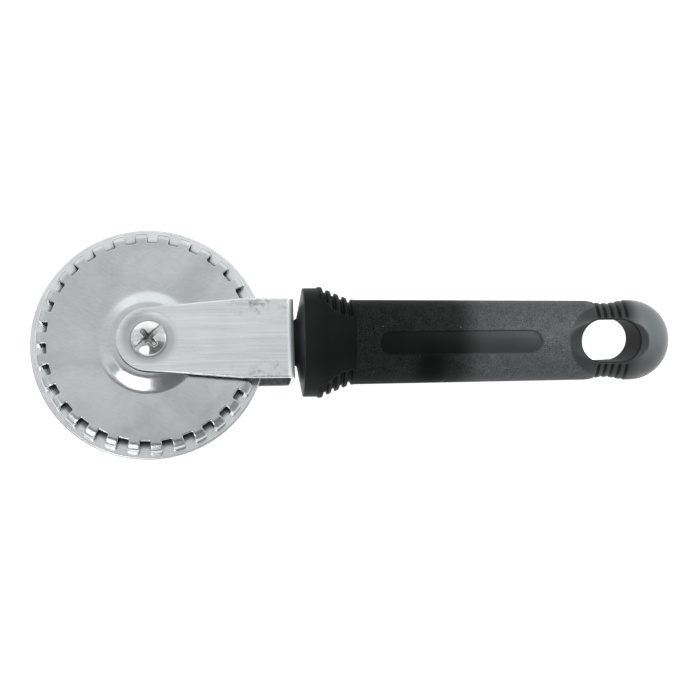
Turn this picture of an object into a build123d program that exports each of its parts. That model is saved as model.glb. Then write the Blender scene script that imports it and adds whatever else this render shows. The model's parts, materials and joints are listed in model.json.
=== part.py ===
from build123d import *
import os

# Pastry wheel: a round cutter between two toothed crimping discs, in a steel fork on a moulded handle.
# Millimetres. +X runs along the handle away from the wheel, +Z along the axle towards the axle screw.
# The origin is the middle of the whole tool: half its length, on the handle's axis, in the cutter's plane.

# Cutter disc
cutter_diameter = 70.0
cutter_thickness = 1.0
cutter_bevel_width = 0.4
cutter_edge_thickness = 0.5

# Crimping discs: heights are measured from the cutter's mid-plane
crimp_margin = 1.6
crimp_sheet = 0.7
crimp_face_height = 4.5
crimp_bend_radius = 1.1
tooth_slope_width = 2.0
tooth_slope_drop = 0.5
tooth_slope_round = 2.0
boss_top_diameter = 22.2
boss_foot_diameter = 30.8
boss_rise = 1.0
boss_round = 3.0
tooth_count = 30
notch_width = 3.15
notch_depth = 3.5
notch_corner_radius = 0.45
first_notch_angle = 3.7

# Hub and axle
axle_diameter = 6.0
running_clearance = 0.05
fit_gap = 0.02
eyelet_wall = 1.2
eyelet_flange_width = 2.05
eyelet_flange = 0.3
hub_spacer_diameter = 16.0
end_play = 0.1
thrust_washer_diameter = 11.0
thrust_washer_thickness = 0.4
axle_head_diameter = 10.9
axle_head_height = 2.4
axle_head_rim = 1.4
axle_thread_diameter = 4.0
axle_thread_length = 8.0
tapping_runout = 1.0
slot_angle = 42.0
slot_width = 1.3
slot_depth = 1.3
cross_span = 6.4
cross_width = 1.7
cross_depth = 1.9
cross_taper = 12.0

# Fork
fork_sheet = 1.0
fork_width = 24.0
fork_straight_length = 15.9
fork_bend_inside = 1.2
fork_edge_round = 0.2
dimple_depth = 0.4
dimple_clearance = 0.85
dimple_slope_width = 1.5
dimple_margin = 1.7

# Screw, washer and insert that hold the fork to the handle
rim_to_screw_gap = 2.5
fork_screw_diameter = 5.0
fork_screw_length = 22.0
fork_screw_side_gap = 2.0
fork_screw_head_height = 3.3
fork_screw_head_rim = 1.6
fork_screw_recess_span = 5.0
fork_screw_recess_depth = 1.9
screw_hole_clearance = 0.15
spring_washer_inset = 0.3
spring_washer_thickness = 1.2
spring_washer_split = 0.8
insert_wall = 1.25
insert_length = 15.0
insert_setback = 2.0
insert_groove_width = 1.5
insert_groove_depth = 0.4

# Handle: radii are taken across its wide way, and its oval section is turned from the cutter's plane about its axis
handle_flatness = 0.78
handle_turn = 14.0
nose_seat_diameter = 13.6
nose_length = 2.9
nose_neck_length = 1.0
collar_radius = 16.4
collar_length = 6.0
collar_front_round = 0.3
collar_front_land = 0.1
collar_back_round = 1.5
lip_height = 0.35
lip_width = 1.9
lip_end_width = 27.0
flare_land = 0.1
flare_round = 9.0
grip_front_radius = 12.8
grip_rear_radius = 12.2
grip_length = 72.6
waist_radius = 11.4
waist_slope_length = 4.4
waist_length = 2.9
waist_round = 8.0
end_radius = 12.3
end_straight = 2.3

# Finger ribs: grooves across the handle's two edges
front_groove_count = 4
front_groove_pitch = 2.43
front_groove_width = 1.1
front_groove_depth = 1.1
shield_width = 16.0
shield_lead = 0.7
shield_overrun = 1.0
rear_groove_count = 5
rear_groove_pitch = 2.15
rear_groove_width = 0.9
rear_groove_depth = 0.7
rear_groove_inset = 2.7
rear_groove_to_hole = 0.75

# Hang hole and panel
hang_hole_length = 18.2
hang_hole_width = 12.7
hang_hole_setback = 20.1
hang_bevel_width = 4.2
hang_bevel_depth = 1.3
hang_bevel_overcut = 1.5
panel_length = 49.3
panel_width = 7.2
panel_depth = 0.45
panel_setback = 8.0

# Rigid core inside the grip
core_flange_thickness = 2.0
core_flange_wall = 2.6
core_neck_length = 8.0
grip_wall = 3.85
core_end_wall = 8.0
lock_ring_count = 4
lock_ring_width = 2.5
lock_ring_height = 1.0
overmould_gap = 0.02

# Places along the axle, outwards from the cutter's mid-plane
cutter_face = cutter_thickness / 2
boss_top = crimp_face_height + boss_rise
eyelet_end = boss_top + eyelet_flange
washer_inner = eyelet_end + end_play
arm_seat_inner = washer_inner + thrust_washer_thickness
arm_seat_outer = arm_seat_inner + fork_sheet
arm_inner = arm_seat_inner + dimple_depth
arm_outer = arm_inner + fork_sheet

# Radii round the axle
cutter_radius = cutter_diameter / 2
crimp_radius = cutter_radius - crimp_margin
axle_radius = axle_diameter / 2
eyelet_bore = axle_radius + running_clearance
eyelet_radius = eyelet_bore + eyelet_wall
eyelet_flange_radius = eyelet_radius + eyelet_flange_width
disc_bore = eyelet_radius + fit_gap
axle_hole = axle_radius + fit_gap
axle_head_radius = axle_head_diameter / 2
thread_radius = axle_thread_diameter / 2
dimple_floor_radius = axle_head_radius + dimple_clearance
dimple_rim_radius = dimple_floor_radius + dimple_slope_width
fork_hub_radius = dimple_rim_radius + dimple_margin

# Radii round the fork screw
screw_radius = fork_screw_diameter / 2
screw_hole = screw_radius + screw_hole_clearance
screw_head_radius = arm_inner - fork_screw_side_gap
spring_washer_radius = screw_head_radius - spring_washer_inset
insert_radius = screw_radius + insert_wall

# Places along the handle, measured from the axle
screw_head_front = cutter_radius + rim_to_screw_gap
screw_head_seat = screw_head_front + fork_screw_head_height
web_inner = screw_head_seat + spring_washer_thickness
web_outer = web_inner + fork_sheet
collar_front = web_outer + nose_length
collar_back = collar_front + collar_length
flare_length = (front_groove_count - 1) * front_groove_pitch + front_groove_width + flare_land
flare_end = collar_back + flare_length
waist_start = flare_end + grip_length
waist_floor_start = waist_start + waist_slope_length
waist_floor_end = waist_floor_start + waist_length
waist_end = waist_floor_end + waist_slope_length
end_centre = waist_end + end_straight
handle_end = end_centre + end_radius
hang_hole_centre = handle_end - hang_hole_setback
flange_back = collar_front + core_flange_thickness
neck_end = flange_back + core_neck_length
core_end = hang_hole_centre - hang_hole_length / 2 - core_end_wall
lock_ring_pitch = (core_end - neck_end) / (lock_ring_count + 1)

# Radii round the handle's axis
nose_seat_radius = nose_seat_diameter / 2
nose_rim_radius = collar_radius - collar_front_round - collar_front_land
flange_radius = collar_radius - core_flange_wall
core_front_radius = grip_front_radius - grip_wall
core_rear_radius = grip_rear_radius - grip_wall

# The axle stands off the origin so that the whole tool's length is centred
overall_length = cutter_radius + handle_end
axle_x = cutter_radius - overall_length / 2

axle = Axis((axle_x, 0, 0), (0, 0, 1))
wheel_plane = Plane((axle_x, 0, 0), x_dir=(1, 0, 0), z_dir=(0, 0, 1))
axle_section = Plane((axle_x, 0, 0), x_dir=(1, 0, 0), z_dir=(0, -1, 0))
flatten = (1, 1, handle_flatness)
reach = 2 * cutter_radius


def along(x):
    """Plane across the handle at a distance from the axle, facing away from the wheel."""
    return Plane((axle_x + x, 0, 0), x_dir=(0, 1, 0), z_dir=(1, 0, 0))


def handle_body(inset=0.0):
    """The grip's outer form, turned about the handle's axis and flattened, its skin taken in by an inset."""
    with BuildPart() as body:
        with BuildSketch(wheel_plane):
            with BuildLine():
                skin = FilletPolyline(
                    (collar_front + inset, nose_rim_radius - inset),
                    (collar_front + inset, collar_radius - inset),
                    (collar_back, collar_radius - inset),
                    (flare_end, grip_front_radius - inset),
                    (waist_start, grip_rear_radius - inset),
                    (waist_floor_start, waist_radius - inset),
                    (waist_floor_end, waist_radius - inset),
                    (waist_end, end_radius - inset),
                    (end_centre, end_radius - inset),
                    radius=[
                        collar_front_round,
                        collar_back_round,
                        flare_round,
                        waist_round,
                        waist_round,
                        waist_round,
                        waist_round,
                    ],
                )
                end_arc = CenterArc((end_centre, 0), end_radius - inset, 90, -90)
                Polyline(end_arc @ 1, (collar_front + inset, 0), skin @ 0)
            make_face()
        revolve(axis=Axis.X)
        scale(by=flatten, about=(0, 0, 0))
    return body.part


def core_body(gap=0.0):
    """The rigid core's turned and flattened form, grown by a gap where the grip is moulded round it."""
    with BuildPart() as body:
        with BuildSketch(wheel_plane):
            with BuildLine():
                Polyline(
                    (web_outer, 0),
                    (web_outer, nose_seat_radius),
                    (web_outer + nose_neck_length, nose_seat_radius),
                    (collar_front, nose_rim_radius + gap),
                    (flange_back + gap, flange_radius + gap),
                    (neck_end + gap, core_front_radius + gap),
                    (core_end + gap, core_rear_radius + gap),
                    (core_end + gap, 0),
                    close=True,
                )
            make_face()
            for ring in range(lock_ring_count):
                ring_radius = core_front_radius + lock_ring_height + gap
                with Locations((neck_end + (ring + 1) * lock_ring_pitch, ring_radius / 2)):
                    Rectangle(lock_ring_width + 2 * gap, ring_radius)
        revolve(axis=Axis.X)
        scale(by=flatten, about=(0, 0, 0))
    return body.part


# Cutter disc: plain round blade, bevelled on both faces
with BuildPart() as cutter_disc:
    with BuildSketch(axle_section):
        with BuildLine():
            bevel_start = cutter_radius - cutter_bevel_width
            Polyline(
                (disc_bore, cutter_face),
                (bevel_start, cutter_face),
                (cutter_radius, cutter_edge_thickness / 2),
                (cutter_radius, -cutter_edge_thickness / 2),
                (bevel_start, -cutter_face),
                (disc_bore, -cutter_face),
                close=True,
            )
        make_face()
    revolve(axis=axle)

# Crimping discs: stamped sheet with a raised boss, the rim sloped, bent towards the cutter and notched into teeth
with BuildPart() as front_crimping_disc:
    with BuildSketch(axle_section):
        with BuildLine():
            FilletPolyline(
                (disc_bore, boss_top),
                (boss_top_diameter / 2, boss_top),
                (boss_foot_diameter / 2, crimp_face_height),
                (crimp_radius - tooth_slope_width, crimp_face_height),
                (crimp_radius, crimp_face_height - tooth_slope_drop),
                (crimp_radius, cutter_face),
                radius=[boss_round, boss_round, tooth_slope_round, crimp_bend_radius],
            )
            offset(amount=crimp_sheet, side=Side.RIGHT)
        make_face()
    revolve(axis=axle)
    with BuildSketch(wheel_plane):
        with PolarLocations(crimp_radius, tooth_count, start_angle=first_notch_angle):
            RectangleRounded(2 * notch_depth, notch_width, notch_corner_radius)
    extrude(amount=boss_top, mode=Mode.SUBTRACT)

with BuildPart() as rear_crimping_disc:
    mirror(front_crimping_disc.part, about=Plane.XY)

# Hub: a flanged eyelet through the three discs, with a spacer on each side of the cutter
with BuildPart() as hub_eyelet:
    with BuildSketch(axle_section):
        with BuildLine():
            Polyline(
                (eyelet_bore, eyelet_end),
                (eyelet_flange_radius, eyelet_end),
                (eyelet_flange_radius, boss_top),
                (eyelet_radius, boss_top),
                (eyelet_radius, -boss_top),
                (eyelet_flange_radius, -boss_top),
                (eyelet_flange_radius, -eyelet_end),
                (eyelet_bore, -eyelet_end),
                close=True,
            )
        make_face()
    revolve(axis=axle)

with BuildPart() as front_hub_spacer:
    with BuildSketch(wheel_plane.offset(cutter_face)):
        Circle(hub_spacer_diameter / 2)
        Circle(disc_bore, mode=Mode.SUBTRACT)
    extrude(amount=boss_top - crimp_sheet - cutter_face)

with BuildPart() as rear_hub_spacer:
    mirror(front_hub_spacer.part, about=Plane.XY)

# Thrust washers between the hub and the fork's arms
with BuildPart() as front_thrust_washer:
    with BuildSketch(wheel_plane.offset(washer_inner)):
        Circle(thrust_washer_diameter / 2)
        Circle(axle_hole, mode=Mode.SUBTRACT)
    extrude(amount=thrust_washer_thickness)

with BuildPart() as rear_thrust_washer:
    mirror(front_thrust_washer.part, about=Plane.XY)


def domed_head(seat):
    """Half section of a domed screw head that stands on a seat at a height on the axle."""
    rise = axle_head_height - axle_head_rim
    dome_radius = (axle_head_radius**2 + rise**2) / (2 * rise)
    with BuildSketch() as half_head:
        with BuildLine():
            rim = Polyline(
                (0, seat),
                (axle_head_radius, seat),
                (axle_head_radius, seat + axle_head_rim),
            )
            dome = RadiusArc(rim @ 1, (0, seat + axle_head_height), -dome_radius)
            Line(dome @ 1, rim @ 0)
        make_face()
    return half_head.sketch


# Axle: a headed barrel from the rear, with a screw from the front
with BuildPart() as axle_barrel:
    with BuildSketch(axle_section):
        mirror(domed_head(arm_seat_outer), about=Plane.XZ)
        with Locations((axle_radius / 2, 0)):
            Rectangle(axle_radius, 2 * arm_seat_outer)
    revolve(axis=axle)
    with BuildSketch(wheel_plane.offset(arm_seat_outer)):
        Circle(thread_radius + fit_gap)
    extrude(amount=-axle_thread_length - tapping_runout, mode=Mode.SUBTRACT)
    with BuildSketch(wheel_plane.offset(-arm_seat_outer - axle_head_height)):
        Rectangle(axle_head_diameter, slot_width)
    extrude(amount=slot_depth, mode=Mode.SUBTRACT)

with BuildPart() as axle_screw:
    with BuildSketch(axle_section):
        add(domed_head(arm_seat_outer))
        with Locations((thread_radius / 2, arm_seat_outer - axle_thread_length / 2)):
            Rectangle(thread_radius, axle_thread_length)
    revolve(axis=axle)
    with BuildSketch(wheel_plane.offset(arm_seat_outer + axle_head_height)):
        Rectangle(axle_head_diameter, slot_width, rotation=slot_angle)
    extrude(amount=-slot_depth, mode=Mode.SUBTRACT)
    with BuildSketch(wheel_plane.offset(arm_seat_outer + axle_head_height)):
        Rectangle(cross_span, cross_width, rotation=slot_angle)
        Rectangle(cross_span, cross_width, rotation=slot_angle + 90)
    extrude(amount=-cross_depth, taper=cross_taper, mode=Mode.SUBTRACT)

# Fork: one strip bent to a U, tapered to a round end at the axle and dished where the axle heads sit
with BuildPart() as fork:
    with BuildSketch(axle_section):
        with BuildLine():
            FilletPolyline(
                (-fork_hub_radius, arm_outer),
                (web_outer, arm_outer),
                (web_outer, -arm_outer),
                (-fork_hub_radius, -arm_outer),
                radius=fork_bend_inside + fork_sheet,
            )
            offset(amount=fork_sheet, side=Side.RIGHT)
        make_face()
    extrude(amount=fork_width / 2, both=True)
    with BuildSketch(wheel_plane):
        Circle(fork_hub_radius)
        with Locations((web_outer - fork_straight_length / 2, 0)):
            Rectangle(fork_straight_length, fork_width)
        make_hull()
    extrude(amount=2 * arm_outer, both=True, mode=Mode.INTERSECT)
    bend_start = axle_x + web_outer - fork_bend_inside - fork_sheet
    arm_faces = fork.faces().filter_by(Axis.Z).sort_by(Axis.Z)
    outline = arm_faces[0].edges() + arm_faces[-1].edges()
    fillet(outline.filter_by_position(Axis.X, -reach, bend_start, (True, False)), fork_edge_round)
    with BuildSketch(wheel_plane):
        Circle(dimple_rim_radius)
    extrude(amount=2 * arm_outer, both=True, mode=Mode.SUBTRACT)
    with BuildSketch(axle_section):
        with BuildLine():
            Polyline(
                (axle_hole, arm_seat_inner),
                (dimple_floor_radius, arm_seat_inner),
                (dimple_rim_radius, arm_inner),
                (dimple_rim_radius, arm_outer),
                (dimple_floor_radius, arm_seat_outer),
                (axle_hole, arm_seat_outer),
                close=True,
            )
        make_face()
        mirror(about=Plane.XZ)
    revolve(axis=axle)
    with BuildSketch(along(web_inner)):
        Circle(screw_hole)
    extrude(amount=fork_sheet, mode=Mode.SUBTRACT)

# Screw through the fork's web, with its split washer and the insert that it is tightened into
with BuildPart() as fork_screw:
    with BuildSketch(along(screw_head_seat)):
        Circle(screw_head_radius)
    extrude(amount=-fork_screw_head_height)
    head_rim = fork_screw.edges().filter_by(GeomType.CIRCLE).sort_by(Axis.X)[0]
    fillet(head_rim, fork_screw_head_height - fork_screw_head_rim)
    with BuildSketch(along(screw_head_seat)):
        Circle(screw_radius)
    extrude(amount=fork_screw_length)
    with BuildSketch(along(screw_head_front)):
        Rectangle(fork_screw_recess_span, cross_width)
        Rectangle(cross_width, fork_screw_recess_span)
    extrude(amount=fork_screw_recess_depth, taper=cross_taper, mode=Mode.SUBTRACT)

with BuildPart() as fork_spring_washer:
    with BuildSketch(along(screw_head_seat)):
        Circle(spring_washer_radius)
        Circle(screw_hole, mode=Mode.SUBTRACT)
        with Locations((0, spring_washer_radius)):
            Rectangle(spring_washer_split, 2 * spring_washer_radius, mode=Mode.SUBTRACT)
    extrude(amount=spring_washer_thickness)

with BuildPart() as threaded_insert:
    with BuildSketch(along(web_outer + insert_setback)):
        Circle(insert_radius)
    extrude(amount=insert_length)
    with BuildSketch(along(web_outer + insert_setback + (insert_length - insert_groove_width) / 2)):
        Circle(insert_radius)
        Circle(insert_radius - insert_groove_depth, mode=Mode.SUBTRACT)
    extrude(amount=insert_groove_width, mode=Mode.SUBTRACT)
    with BuildSketch(along(web_outer + insert_setback)):
        Circle(screw_radius + fit_gap)
    extrude(amount=insert_length, mode=Mode.SUBTRACT)

# Handle core: conical nose, flange and a bar with rings that key the grip
with BuildPart() as handle_core:
    add(core_body())
    with BuildSketch(along(web_outer)):
        Circle(screw_hole)
    extrude(amount=fork_screw_length, mode=Mode.SUBTRACT)
    with BuildSketch(along(web_outer + insert_setback)):
        Circle(insert_radius + fit_gap)
    extrude(amount=insert_length, mode=Mode.SUBTRACT)

# Front finger grooves: slots across the flare's two edges, with a smooth shield left between them
with BuildPart() as front_grooves:
    with BuildSketch(wheel_plane):
        with BuildLine():
            shield_edge = EllipticalCenterArc(
                (flare_end + shield_overrun, collar_radius + lip_height),
                flare_length + shield_overrun + shield_lead,
                collar_radius + lip_height - shield_width / 2,
                start_angle=180,
                arc_size=90,
            )
            Polyline(
                shield_edge @ 1,
                (flare_end + shield_overrun, reach),
                (collar_back - shield_lead, reach),
                shield_edge @ 0,
            )
        make_face()
        mirror(about=Plane.XZ)
    extrude(amount=reach, both=True)
    with BuildSketch(wheel_plane):
        for groove in range(front_groove_count):
            groove_middle = collar_back + front_groove_width / 2 + groove * front_groove_pitch
            with Locations((groove_middle, 0)):
                Rectangle(front_groove_width, 2 * reach)
    extrude(amount=reach, both=True, mode=Mode.INTERSECT)
    add(handle_body(front_groove_depth), mode=Mode.SUBTRACT)

# Lip along the collar's back edge, on the handle's two edges only
with BuildPart() as collar_lip:
    with BuildSketch(wheel_plane):
        with Locations((collar_back - lip_width / 2, collar_radius)):
            Rectangle(lip_width, 2 * lip_height)
    revolve(axis=Axis.X)
    scale(by=flatten, about=(0, 0, 0))
    with BuildSketch(wheel_plane):
        with Locations((collar_back, 0)):
            Rectangle(reach, lip_end_width)
    extrude(amount=reach, both=True, mode=Mode.SUBTRACT)

# Rear finger grooves: slots across the waist, stopped short of the hang hole
with BuildPart() as rear_grooves:
    with BuildSketch(wheel_plane):
        for groove in range(rear_groove_count):
            groove_middle = waist_start + rear_groove_inset + groove * rear_groove_pitch
            with Locations((groove_middle, 0)):
                Rectangle(rear_groove_width, 2 * reach)
        with Locations((hang_hole_centre, 0)):
            Rectangle(reach, hang_hole_width + 2 * rear_groove_to_hole, mode=Mode.SUBTRACT)
    extrude(amount=reach, both=True)
    add(handle_body(rear_groove_depth), mode=Mode.SUBTRACT)

# Panel: a shallow round-ended recess in the grip's front, its floor parallel to the skin
with BuildPart() as panel_recess:
    with BuildSketch(wheel_plane):
        with Locations((flare_end + panel_setback + panel_length / 2, 0)):
            SlotOverall(panel_length, panel_width)
    extrude(amount=collar_radius)
    add(handle_body(panel_depth), mode=Mode.SUBTRACT)

# Grip: soft overmould round the core
with BuildPart() as grip:
    add(handle_body())
    add(collar_lip.part)
    add(core_body(overmould_gap), mode=Mode.SUBTRACT)
    add(front_grooves.part, mode=Mode.SUBTRACT)
    add(rear_grooves.part, mode=Mode.SUBTRACT)
    add(panel_recess.part, mode=Mode.SUBTRACT)
    rim_height = end_radius * handle_flatness - hang_bevel_depth
    bevel_height = rim_height + hang_bevel_overcut * hang_bevel_depth
    bevel_growth = 2 * hang_bevel_overcut * hang_bevel_width
    for side in (1, -1):
        with BuildSketch(wheel_plane.offset(side * rim_height)):
            with Locations((hang_hole_centre, 0)):
                SlotOverall(hang_hole_length, hang_hole_width)
        with BuildSketch(wheel_plane.offset(side * bevel_height)):
            with Locations((hang_hole_centre, 0)):
                SlotOverall(hang_hole_length + bevel_growth, hang_hole_width + bevel_growth)
        loft(mode=Mode.SUBTRACT)
    with BuildSketch(wheel_plane):
        with Locations((hang_hole_centre, 0)):
            SlotOverall(hang_hole_length, hang_hole_width)
    extrude(amount=collar_radius, both=True, mode=Mode.SUBTRACT)

# The handle's two pieces in their place: turned on the fork screw, as the tool in the photograph stands
with BuildPart() as turned_core:
    add(handle_core.part, rotation=(handle_turn, 0, 0))

with BuildPart() as turned_grip:
    add(grip.part, rotation=(handle_turn, 0, 0))

os.makedirs("parts", exist_ok=True)
pieces = {
    "cutter_disc": cutter_disc,
    "front_crimping_disc": front_crimping_disc,
    "rear_crimping_disc": rear_crimping_disc,
    "hub_eyelet": hub_eyelet,
    "front_hub_spacer": front_hub_spacer,
    "rear_hub_spacer": rear_hub_spacer,
    "front_thrust_washer": front_thrust_washer,
    "rear_thrust_washer": rear_thrust_washer,
    "axle_barrel": axle_barrel,
    "axle_screw": axle_screw,
    "fork": fork,
    "fork_screw": fork_screw,
    "fork_spring_washer": fork_spring_washer,
    "threaded_insert": threaded_insert,
    "handle_core": turned_core,
    "grip": turned_grip,
}
for name, piece in pieces.items():
    piece.part.label = name
    export_step(piece.part, f"parts/{name}.step")
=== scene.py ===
import json
import math

import bmesh
import bpy
import numpy as np
from mathutils import Matrix, Vector


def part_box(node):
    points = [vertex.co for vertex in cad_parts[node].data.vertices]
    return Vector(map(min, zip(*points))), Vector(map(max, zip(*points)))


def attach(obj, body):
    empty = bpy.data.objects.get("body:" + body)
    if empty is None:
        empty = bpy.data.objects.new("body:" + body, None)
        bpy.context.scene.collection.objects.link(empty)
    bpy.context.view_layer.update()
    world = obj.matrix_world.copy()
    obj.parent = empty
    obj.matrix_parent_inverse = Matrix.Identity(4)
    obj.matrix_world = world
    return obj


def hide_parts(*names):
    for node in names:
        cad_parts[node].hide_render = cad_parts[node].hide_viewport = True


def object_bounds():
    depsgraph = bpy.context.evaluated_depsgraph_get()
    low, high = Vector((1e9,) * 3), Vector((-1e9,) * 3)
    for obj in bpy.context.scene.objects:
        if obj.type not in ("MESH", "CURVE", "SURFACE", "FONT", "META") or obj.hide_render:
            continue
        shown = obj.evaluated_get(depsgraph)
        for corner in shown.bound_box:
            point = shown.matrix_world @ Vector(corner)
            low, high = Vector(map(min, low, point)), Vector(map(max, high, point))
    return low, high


bl_info = {
    "name": "Pastry Wheel",
    "version": (1, 0, 0),
    "blender": (4, 5, 0),
    "location": "View3D > Sidebar > Pastry Wheel",
    "description": "Finished surfaces, materials and studio for a pastry wheel",
    "category": "Object",
}

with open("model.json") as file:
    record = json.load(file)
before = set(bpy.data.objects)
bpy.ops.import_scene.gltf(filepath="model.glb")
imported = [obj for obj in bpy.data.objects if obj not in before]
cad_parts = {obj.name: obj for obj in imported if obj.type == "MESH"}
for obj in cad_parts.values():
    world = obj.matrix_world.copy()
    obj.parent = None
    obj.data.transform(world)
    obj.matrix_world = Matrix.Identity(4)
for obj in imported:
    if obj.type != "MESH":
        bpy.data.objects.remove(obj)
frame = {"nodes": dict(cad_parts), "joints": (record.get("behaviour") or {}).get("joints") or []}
cad_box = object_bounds()

# Places that every piece shares, read from the frame: metres, axle along Z, handle along X
AXLE_X = frame["joints"][0]["pos_m"][0]
CUTTER_LOW, CUTTER_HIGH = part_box("cutter_disc")
DISC_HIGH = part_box("front_crimping_disc")[1]
FORK_LOW, FORK_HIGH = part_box("fork")
SCREW_LOW, SCREW_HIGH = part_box("axle_screw")
CORE_LOW, CORE_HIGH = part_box("handle_core")
GRIP_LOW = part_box("grip")[0]
AXLE = (AXLE_X, 0.0, 0.0)

# Forms that two pieces share: the rise of a crimping disc's boss and the depth of the fork's dish
BOSS_RISE = 0.001
DISH_DEPTH = 0.0004

# How every mesh is made: points in a rounded corner, the part of a step below which two points are one,
# the gaps at which points are welded and faces count as empty, and the angle of a cut edge
ARC_POINTS = 9
CLOSE_PART = 6
WELD_GAP = 2e-6
EMPTY_GAP = WELD_GAP / 4
CUT_ANGLE = math.radians(40)

# Ranges that hold most, the middle and the inner part of a noise's values
MOST_NOISE = (0.3, 0.7)
MIDDLE_NOISE = (0.35, 0.65)
INNER_NOISE = (0.36, 0.64)


# Property helpers


def length(name, description, default):
    """A size in metres."""
    return bpy.props.FloatProperty(
        name=name, description=description, default=default, subtype="DISTANCE", unit="LENGTH", precision=5
    )


def angle(name, description, degrees):
    """An angle, shown in degrees and kept in radians."""
    return bpy.props.FloatProperty(
        name=name, description=description, default=math.radians(degrees), subtype="ANGLE", unit="ROTATION"
    )


def count(name, description, default):
    """A whole number of like things."""
    return bpy.props.IntProperty(name=name, description=description, default=default, min=1)


def colour(name, description, default):
    """A linear colour."""
    return bpy.props.FloatVectorProperty(
        name=name, description=description, default=default, subtype="COLOR", size=3, min=0.0, max=1.0
    )


def factor(name, description, default):
    """A plain number with no unit."""
    return bpy.props.FloatProperty(name=name, description=description, default=default)


def power(name, description, default):
    """A light's power in watts."""
    return bpy.props.FloatProperty(
        name=name, description=description, default=default, unit="POWER", min=0.0
    )


def place(name, description, default):
    """A point, or the two sides of a light, in metres."""
    return bpy.props.FloatVectorProperty(
        name=name, description=description, default=default, subtype="XYZ", unit="LENGTH", size=len(default)
    )


# Sizes and colours


class WheelSizes(bpy.types.PropertyGroup):
    """Cutter and crimping discs."""

    cutter_radius: length("Cutter radius", "From the axle to the cutting edge", AXLE_X - CUTTER_LOW.x)
    cutter_face: length("Cutter face", "Half the cutter's thickness", CUTTER_HIGH.z)
    cutter_bevel: length("Bevel width", "Width of the ground bevel at the edge", 0.0004)
    cutter_edge: length("Edge thickness", "Thickness left at the very edge", 0.0005)
    cutter_round: length("Bevel round", "Rounding where the bevel meets the face", 0.0002)
    bore: length("Bore", "Radius of the hole for the hub", 0.00427)
    crimp_radius: length("Crimping radius", "From the axle to the outside of the teeth", DISC_HIGH.y)
    sheet: length("Sheet", "Thickness of the stamped discs", 0.0007)
    face: length("Face height", "From the cutter's middle to the outer face", DISC_HIGH.z - BOSS_RISE)
    boss_top: length("Boss height", "From the cutter's middle to the top of the boss", DISC_HIGH.z)
    boss_top_radius: length("Boss top radius", "Where the boss's flat top ends", 0.0111)
    boss_foot_radius: length("Boss foot radius", "Where the boss meets the face", 0.0154)
    boss_round: length("Boss round", "Rounding at the top and foot of the boss", 0.003)
    tooth_drop: length("Tooth drop", "How far a tooth falls before it turns down", 0.0005)
    tooth_slope: length("Tooth slope", "Width of the slope at the rim", 0.002)
    slope_round: length("Slope round", "Rounding where the face starts to fall", 0.002)
    bend: length("Tooth bend", "Outer radius where the teeth turn down", 0.0011)
    tip_round: length("Tip round", "Rounding of a tooth's corners, seen from above", 0.0006)
    teeth: count("Teeth", "Teeth round each crimping disc", 30)
    notch_width: length("Notch width", "Gap between two teeth", 0.00315)
    notch_depth: length("Notch depth", "How far the gaps reach in from the rim", 0.0035)
    notch_round: length("Notch round", "Rounding of the gaps' inner corners", 0.00045)
    first_notch: angle("First notch", "Angle of one notch from the handle's direction", 3.7)
    tooth_lean: length("Tooth lean", "How unevenly the tooth tips stand", 0.00012)
    waviness: length("Waviness", "How far the stamped face is from flat", 0.00003)
    edge_roll: length("Edge roll", "Radius to which the punch rolled the edges over", 0.0002)


class AxleSizes(bpy.types.PropertyGroup):
    """Axle screw and barrel."""

    head_radius: length("Head radius", "Radius of both heads", (SCREW_HIGH.x - SCREW_LOW.x) / 2)
    head_seat: length("Head seat", "From the cutter's middle to a head's seat", FORK_HIGH.z - DISH_DEPTH)
    head_height: length("Head height", "From the seat to the top of the dome", 0.0024)
    head_rim: length("Head rim", "Height of the upright rim under the dome", 0.0014)
    shank_radius: length("Screw shank", "Radius of the screw's shank", 0.002)
    barrel_radius: length("Barrel", "Radius of the barrel that the wheel turns on", 0.003)
    barrel_bore: length("Barrel bore", "Radius of the barrel's hole for the screw", 0.00202)
    shank_length: length("Shank length", "From the head's seat to the end of the shank", 0.008)
    slot_angle: angle("Slot angle", "Turn of the screw's slot from the handle's direction", 42.0)
    slot_width: length("Slot width", "Width of the slot", 0.0013)
    slot_depth: length("Slot depth", "Depth of the slot below the top of the dome", 0.0013)
    cross_span: length("Cross span", "Length of the cross recess's arms, end to end", 0.0064)
    cross_width: length("Cross width", "Width of the cross recess's arms", 0.0017)
    cross_depth: length("Cross depth", "Depth of the cross recess in the middle", 0.0019)
    edge_round: length("Edge round", "Softness of the slot's edges", 0.00012)


class ForkSizes(bpy.types.PropertyGroup):
    """Bent strip that holds the wheel."""

    sheet: length("Sheet", "Thickness of the strip", 0.001)
    half_width: length("Half width", "Half the strip's width at the web", FORK_HIGH.y)
    arm_outer: length("Arm height", "From the cutter's middle to an arm's outer face", FORK_HIGH.z)
    web_outer: length("Web", "From the axle to the web's outer face", FORK_HIGH.x - AXLE_X)
    hub_radius: length("Hub radius", "Radius of the arms' round ends", AXLE_X - FORK_LOW.x)
    straight: length("Straight length", "Stretch of full width, measured from the web", 0.0159)
    bend: length("Bend", "Outer radius of the two bends", 0.0022)
    hole: length("Hole", "Radius of the holes for the axle", 0.00302)
    dish_depth: length("Dish depth", "How far the arms are dished round the axle", DISH_DEPTH)
    dish_floor: length("Dish floor", "Radius of the dish's flat floor", 0.0058)
    dish_rim: length("Dish rim", "Radius where the dish meets the arm", 0.0088)
    edge_break: length("Edge break", "Width of the small flat along the strip's edges", 0.0003)


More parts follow.
